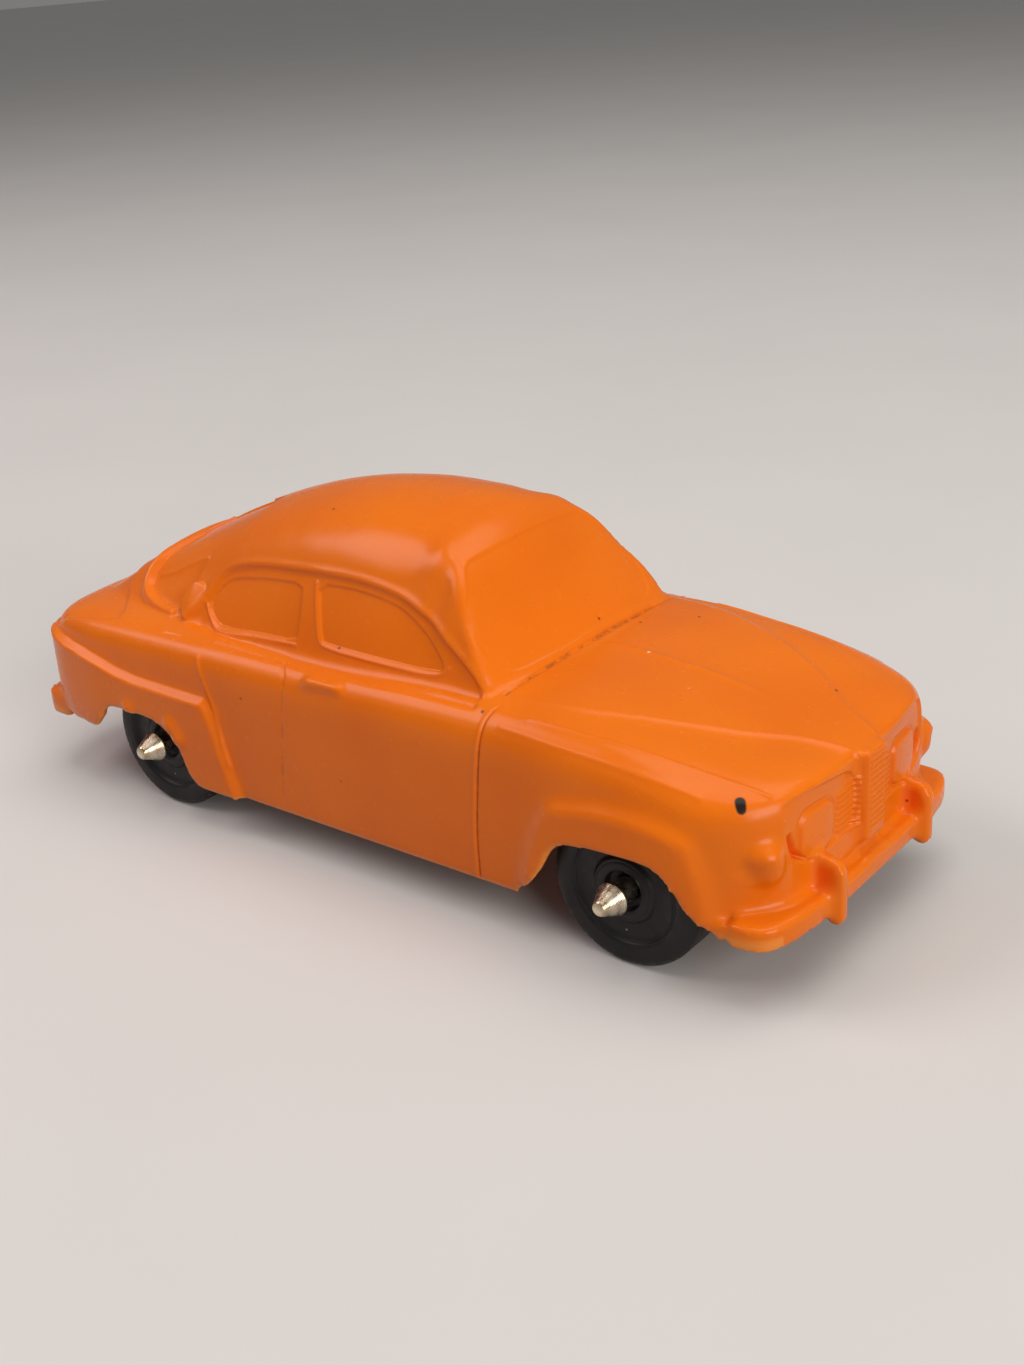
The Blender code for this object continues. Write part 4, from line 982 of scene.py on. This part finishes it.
def vinyl_material(colour, deep_colour, dirt_and_shade_colour):
    """Semi-gloss soft vinyl, a little translucent, with dirt and painted shade in its grooves, a painted red glow in
    its recesses, a painted lighter rim on its thin edges, and small specks.
    """
    material, tree, shader = new_material("orange_vinyl")
    n = NodeMaker(tree)
    cloud = n.spread(n.noise(0.012, 1.0), 0.35, 0.7)
    base = n.mix(cloud, colour, deep_colour)
    # Painted lighter rim, as light shows through the thin edges of the vinyl
    base = n.mix(n.spread(n.attribute("rim_light"), 0, 1, 0, 0.45), base, RIM_LIGHT_ORANGE)
    # Painted red glow in the recesses and on the shaded sides of the front overriders
    base = n.mix(n.spread(n.attribute("pocket"), 0, 1, 0, 0.6), base, PAINTED_GLOW_RED)
    patchy = n.spread(n.noise(0.0012, 4.0, 0.7), 0.45, 0.62)
    # Dirt and painted shade in the grooves
    dirt_and_shade_share = n.maths("MULTIPLY", n.maths("MULTIPLY", n.attribute("dirt_and_shade"), patchy), 0.6)
    base = n.mix(dirt_and_shade_share, base, dirt_and_shade_colour)
    base = n.mix(n.specks(0.0021, 0.00022, 0.07), base, DARK_SPECK)
    base = n.mix(n.specks(0.0034, 0.0002, 0.05), base, PALE_SPECK)
    base = n.mix(n.spread(n.attribute("chip"), 0, 1), base, CHIP_BLACK)
    n.link(base, shader.inputs["Base Color"])
    rough = n.spread(n.noise(0.0016, 3.0, 0.5), 0.3, 0.7, 0.22, 0.28)
    n.link(rough, shader.inputs["Roughness"])
    wavy = n.bump(n.noise(0.0035, 1.0), 0.00004)
    fine = n.bump(n.noise(0.0004, 3.0, 0.6), 0.000007, 1.0, wavy)
    n.link(fine, shader.inputs["Normal"])
    shader.inputs["Subsurface Weight"].default_value = 0.22
    shader.inputs["Subsurface Radius"].default_value = (1.0, 0.28, 0.06)
    shader.inputs["Subsurface Scale"].default_value = 0.0009
    shader.inputs["Specular IOR Level"].default_value = 0.24
    return material


def black_material(colour):
    """Satin black vinyl with dust in its rings and a faint bloom."""
    material, tree, shader = new_material("black_vinyl")
    n = NodeMaker(tree)
    smear = n.spread(n.noise(0.0022, 5.0, 0.7), 0.5, 0.85, 0.0, 0.5)
    base = n.mix(smear, colour, SMEAR_GREY)
    base = n.mix(n.specks(0.0013, 0.00012, 0.06), base, DUST_GREY)
    n.link(base, shader.inputs["Base Color"])
    n.link(n.spread(n.noise(0.0011, 4.0), 0.3, 0.7, 0.34, 0.55), shader.inputs["Roughness"])
    n.link(n.bump(n.noise(0.0003, 3.0, 0.6), 0.00001), shader.inputs["Normal"])
    shader.inputs["Specular IOR Level"].default_value = 0.3
    return material


def steel_material(colour):
    """Plated steel, turned: fine rings round the axle and a warm stain."""
    material, tree, shader = new_material("plated_steel")
    n = NodeMaker(tree)
    stain = n.spread(n.noise(0.0011, 4.0, 0.6), 0.4, 0.7)
    base = n.mix(stain, colour, STEEL_STAIN)
    n.link(base, shader.inputs["Base Color"])
    shader.inputs["Metallic"].default_value = 1.0
    n.link(n.spread(n.noise(0.0006, 3.0), 0.3, 0.7, 0.2, 0.36), shader.inputs["Roughness"])
    wave = tree.nodes.new("ShaderNodeTexWave")
    wave.bands_direction = "Z"
    wave.inputs["Scale"].default_value = TURNED_RINGS
    wave.inputs["Distortion"].default_value = 1.2
    wave.inputs["Detail"].default_value = 2.0
    n.link(n.coordinates, wave.inputs["Vector"])
    n.link(n.bump(wave.outputs["Fac"], 0.000008), shader.inputs["Normal"])
    return material


def floor_material(colour):
    """Plain pale floor with the faintest unevenness; the light it throws back on to the car is darker and warmer."""
    material, tree, shader = new_material("pale_floor")
    n = NodeMaker(tree)
    tint = tuple(0.97 * value for value in colour)
    seen = n.mix(n.spread(n.noise(0.05), 0.3, 0.7), colour, tint)
    path = tree.nodes.new("ShaderNodeLightPath").outputs
    direct = n.maths("MAXIMUM", path["Is Camera Ray"], n.maths("MAXIMUM", path["Is Glossy Ray"],
                                                               path["Is Transmission Ray"]))
    n.link(n.mix(direct, FLOOR_BOUNCE, seen), shader.inputs["Base Color"])
    shader.inputs["Roughness"].default_value = 0.9
    shader.inputs["Specular IOR Level"].default_value = 0.2
    return material


class BodySettings(bpy.types.PropertyGroup):
    """What a user may change on the body."""

    voxel: bpy.props.FloatProperty(
        name="Mesh grain", description="Size of the body mesh's faces", default=0.00037, min=0.0002, max=0.002,
        unit="LENGTH", subtype="DISTANCE")
    colour: bpy.props.FloatVectorProperty(
        name="Vinyl", description="Colour of the vinyl", default=(0.85, 0.186, 0.005), size=3, min=0, max=1,
        subtype="COLOR")
    deep_colour: bpy.props.FloatVectorProperty(
        name="Deep vinyl", description="Colour of its deeper patches", default=(0.8, 0.164, 0.004), size=3, min=0,
        max=1, subtype="COLOR")
    # Colour of the dirt and of the painted shade in the grooves
    dirt_and_shade_colour: bpy.props.FloatVectorProperty(
        name="Dirt", description="Colour of the dirt in grooves", default=(0.22, 0.05, 0.015), size=3, min=0, max=1,
        subtype="COLOR")


class WheelSettings(bpy.types.PropertyGroup):
    """What a user may change on the wheels."""

    steps: bpy.props.IntProperty(name="Steps", description="Facets round each wheel", default=180, min=36, max=360)
    colour: bpy.props.FloatVectorProperty(
        name="Wheel", description="Colour of the wheels", default=(0.008, 0.007, 0.008), size=3, min=0, max=1,
        subtype="COLOR")


class AxleSettings(bpy.types.PropertyGroup):
    """What a user may change on the axles."""

    steps: bpy.props.IntProperty(name="Steps", description="Facets round each axle", default=72, min=24, max=180)
    colour: bpy.props.FloatVectorProperty(
        name="Steel", description="Colour of the plated steel", default=(0.72, 0.64, 0.5), size=3, min=0, max=1,
        subtype="COLOR")


class StageSettings(bpy.types.PropertyGroup):
    """What a user may change on the floor, the light and the camera."""

    floor_colour: bpy.props.FloatVectorProperty(
        name="Floor", description="Colour of the floor", default=(0.70, 0.69, 0.67), size=3, min=0, max=1,
        subtype="COLOR")
    key_power: bpy.props.FloatProperty(
        name="Ceiling light", description="Power of the soft light overhead", default=2.0, min=0, unit="POWER")
    window_power: bpy.props.FloatProperty(
        name="Window light", description="Power of the light behind the near side", default=1.6, min=0, unit="POWER")
    front_power: bpy.props.FloatProperty(
        name="Front light", description="Power of the soft light before the nose", default=2.85, min=0, unit="POWER")
    sky_strength: bpy.props.FloatProperty(
        name="Room light", description="Strength of the even light all round", default=0.2, min=0, max=5)
    camera_place: bpy.props.FloatVectorProperty(
        name="Camera", description="Where the camera stands", default=(0.105038, -0.118891, 0.083165), size=3,
        unit="LENGTH", subtype="TRANSLATION")
    camera_turn: bpy.props.FloatProperty(
        name="Turn", description="How far the camera is turned to the left", default=0.68809, subtype="ANGLE",
        unit="ROTATION")
    camera_tilt: bpy.props.FloatProperty(
        name="Tilt", description="How far the camera looks down", default=0.41441, subtype="ANGLE", unit="ROTATION")
    camera_roll: bpy.props.FloatProperty(
        name="Roll", description="How far the camera leans", default=-0.06887, subtype="ANGLE", unit="ROTATION")
    lens: bpy.props.FloatProperty(
        name="Lens", description="Focal length on a 36 mm frame", default=45.03, min=10, subtype="DISTANCE_CAMERA")


class TOYCAR_OT_body(bpy.types.Operator):
    """Mould the vinyl body and put it in place of its plain solid"""

    bl_idname = "toycar.body"
    bl_label = "Vinyl body"

    def execute(self, context):
        settings = context.scene.toycar_body
        voxel = settings.voxel / MM
        body = build_body(voxel)
        body.data.materials.clear()
        body.data.materials.append(vinyl_material(settings.colour, settings.deep_colour, settings.dirt_and_shade_colour))
        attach(body, "body")
        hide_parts("body_shell")
        return {"FINISHED"}


class TOYCAR_OT_wheels(bpy.types.Operator):
    """Turn the four black wheels and put them in place of their plain solids"""

    bl_idname = "toycar.wheels"
    bl_label = "Wheels"

    def execute(self, context):
        settings = context.scene.toycar_wheels
        material = black_material(settings.colour)
        rng = np.random.default_rng(7)
        for end in ("front", "rear"):
            for label, side in (("left", 1), ("right", -1)):
                node = f"wheel_{end}_{label}"
                low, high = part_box(node)
                inner_y = low.y if side > 0 else high.y
                wheel = turned("dressed_" + node, wheel_profile(), settings.steps, tyre_notches(rng))
                wheel.matrix_world = across((low.x + high.x) / 2, inner_y, side)
                wheel.data.materials.append(material)
                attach(wheel, f"{end}_{label}_wheel")
                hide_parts(node)
        return {"FINISHED"}


def wheel_profile():
    """Half outline of a wheel as (radius, height): down the tyre, across the back, up the bore and over the face."""
    radius = AXLE_Z
    shoulder = [(6.7, -0.02), (6.95, -0.08), (7.15, -0.2), (7.3, -0.38), (radius - 0.05, -0.6), (radius, -0.85)]
    back = [(radius, 3.2), (radius, 1.8), (radius, 0.8), (radius - 0.05, 0.5), (7.3, 0.28), (7.05, 0.08), (6.8, 0.0),
            (5.0, 0.0), (3.0, 0.0), (1.25, 0.0), (1.19, 0.06)]
    front = [(1.19, -0.95), (1.25, -0.88), (1.7, -0.8), (1.82, -0.72), (1.9, -0.1), (1.98, 0), (2.35, 0.02),
             (2.65, -0.02), (2.75, -0.09), (2.85, -0.05), (2.98, -0.1), (3.1, -0.22), (3.2, -0.4), (3.35, -0.47),
             (3.9, -0.5), (4.5, -0.46), (4.85, -0.36), (4.98, -0.24), (5.08, -0.26), (5.2, -0.14), (5.32, -0.17),
             (5.45, -0.07), (5.6, -0.03), (6.2, 0)]
    return [(r, WHEEL_FACE + h) for r, h in shoulder] + back + [(r, WHEEL_FACE + h) for r, h in front]


WHEEL_FACE = 5.0
NICKS = 60
NICK_DEPTH = 0.09


def tyre_notches(rng):
    """Small irregular nicks on the outer shoulder of a tyre."""
    depth = rng.uniform(0.2, 1.0, NICKS)
    phase = rng.uniform(0, 1)

    def notch(radius, height, turn):
        cell = (turn / (2 * math.pi) * NICKS + phase) % NICKS
        nick = bell((cell % 1) - 0.5, 0.16) * depth[np.minimum(cell.astype(int), NICKS - 1)]
        zone = ramp(6.6, 6.95, radius) * ramp(7.46, 7.3, radius) * (height > 4)
        return radius, height - NICK_DEPTH * nick * zone

    return notch


class TOYCAR_OT_axles(bpy.types.Operator):
    """Turn the two axles with their cone heads and put them in place of their plain solids"""

    bl_idname = "toycar.axles"
    bl_label = "Axles"

    def execute(self, context):
        settings = context.scene.toycar_axles
        material = steel_material(settings.colour)
        for end in ("front", "rear"):
            node = "axle_" + end
            low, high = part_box(node)
            axle = turned("dressed_" + node, axle_profile(), settings.steps)
            axle.matrix_world = across((low.x + high.x) / 2, 0.0, 1)
            axle.data.materials.append(material)
            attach(axle, end + "_axle")
            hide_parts(node)
        return {"FINISHED"}


# Cone head: radius and height of its tip, its length, how much wider it grows, and the tool's marks round it
CONE_TIP = (0.66, 19.7)
CONE_LENGTH = 1.9
CONE_WIDENING = 0.88
CONE_RINGS = 28


def axle_profile():
    """Half outline of an axle as (radius, height), with tool marks on its cone heads."""
    half = [(0.0, 19.76), (0.45, 19.76), (0.52, 19.8), (0.6, 19.78)]
    for k in range(CONE_RINGS):
        height = CONE_TIP[1] - CONE_LENGTH * k / (CONE_RINGS - 1)
        radius = CONE_TIP[0] + CONE_WIDENING * (CONE_TIP[1] - height) / CONE_LENGTH
        half.append((radius + (0.018 if k % 2 else -0.006), height))
    half += [(1.56, 17.72), (1.54, 17.62), (1.46, 17.5), (1.2, 17.46), (1.1, 17.44), (1.1, 12.0), (1.1, 4.0)]
    return half + [(radius, -height) for radius, height in reversed(half)]


class TOYCAR_OT_stage(bpy.types.Operator):
    """Lay the floor and set up the light and the camera"""

    bl_idname = "toycar.stage"
    bl_label = "Stage"

    def execute(self, context):
        settings = context.scene.toycar_stage
        bm = bmesh.new()
        bmesh.ops.create_grid(bm, x_segments=1, y_segments=1, size=FLOOR_REACH)
        floor = mesh_object("floor", bm)
        floor.data.materials.append(floor_material(settings.floor_colour))
        for name, place, size, power, share, colour in LIGHTS:
            add_light(name, place, size, share * getattr(settings, power), colour)
        world = bpy.data.worlds.new("room")
        world.use_nodes = True
        world.node_tree.nodes["Background"].inputs["Color"].default_value = ROOM_COLOUR
        world.node_tree.nodes["Background"].inputs["Strength"].default_value = settings.sky_strength
        context.scene.world = world
        place_camera(context.scene, settings)
        context.scene.view_settings.view_transform = "Standard"
        return {"FINISHED"}


# Each light's name, place, size, setting of its power, share of that power, and colour
LIGHTS = (
    ("ceiling_light", (0.10, 0.10, 0.62), 0.55, "key_power", 0.95, (1.0, 0.97, 0.93)),
    ("lamp_overhead", (-0.05, -0.09, 0.62), 0.08, "key_power", 0.05, (1.0, 0.97, 0.93)),
    ("window_light", (-0.42, -0.26, 0.50), 0.36, "window_power", 1.0, (1.0, 0.86, 0.88)),
    ("front_light", (0.62, -0.22, 0.26), 0.40, "front_power", 1.0, (1.0, 0.96, 0.92)),
)
LIT_POINT = (0.0, 0.0, 0.012)
ROOM_COLOUR = (1.0, 0.98, 0.96, 1.0)
FLOOR_REACH = 3.0
FILM_WIDTH = 36.0


def add_light(name, place, size, power, colour):
    """Square soft light that points at the car."""
    light = bpy.data.lights.new(name, "AREA")
    light.size = size
    light.energy = power
    light.color = colour
    obj = place_object(name, light)
    obj.location = place
    obj.rotation_euler = (Vector(LIT_POINT) - Vector(place)).to_track_quat("-Z", "Y").to_euler()


def place_camera(scene, settings):
    """Camera at the photograph's place and angle."""
    yaw, tilt, roll = settings.camera_turn, settings.camera_tilt, settings.camera_roll
    ahead = Vector((-math.sin(yaw) * math.cos(tilt), math.cos(yaw) * math.cos(tilt), -math.sin(tilt)))
    level = Vector((math.cos(yaw), math.sin(yaw), 0.0))
    upright = level.cross(ahead)
    right = level * math.cos(roll) + upright * math.sin(roll)
    up = upright * math.cos(roll) - level * math.sin(roll)
    data = bpy.data.cameras.new("camera")
    data.sensor_width = FILM_WIDTH
    data.lens = settings.lens
    data.clip_start = 0.01
    camera = place_object("camera", data)
    turn = Matrix((right, up, -ahead)).transposed()
    camera.matrix_world = Matrix.Translation(settings.camera_place) @ turn.to_4x4()
    scene.camera = camera


class TOYCAR_PT_build(bpy.types.Panel):
    """Lists the pieces of the toy car and their settings"""

    bl_label = "Toy car"
    bl_idname = "TOYCAR_PT_build"
    bl_space_type = "VIEW_3D"
    bl_region_type = "UI"
    bl_category = "Toy car"

    def draw(self, context):
        for operator, settings in OPERATORS:
            box = self.layout.box()
            box.operator(operator.bl_idname)
            group = getattr(context.scene, settings)
            for name in group.bl_rna.properties.keys():
                if name not in ("rna_type", "name"):
                    box.prop(group, name)


OPERATORS = (
    (TOYCAR_OT_body, "toycar_body"),
    (TOYCAR_OT_wheels, "toycar_wheels"),
    (TOYCAR_OT_axles, "toycar_axles"),
    (TOYCAR_OT_stage, "toycar_stage"),
)
SETTINGS = (
    ("toycar_body", BodySettings),
    ("toycar_wheels", WheelSettings),
    ("toycar_axles", AxleSettings),
    ("toycar_stage", StageSettings),
)


def register():
    for name, group in SETTINGS:
        bpy.utils.register_class(group)
        setattr(bpy.types.Scene, name, bpy.props.PointerProperty(type=group))
    for operator, _ in OPERATORS:
        bpy.utils.register_class(operator)
    bpy.utils.register_class(TOYCAR_PT_build)


def unregister():
    bpy.utils.unregister_class(TOYCAR_PT_build)
    for operator, _ in reversed(OPERATORS):
        bpy.utils.unregister_class(operator)
    for name, group in reversed(SETTINGS):
        delattr(bpy.types.Scene, name)
        bpy.utils.unregister_class(group)


def main():
    register()
    bpy.ops.toycar.body()
    bpy.ops.toycar.wheels()
    bpy.ops.toycar.axles()
    bpy.ops.toycar.stage()


if __name__ == "__main__":
    main()
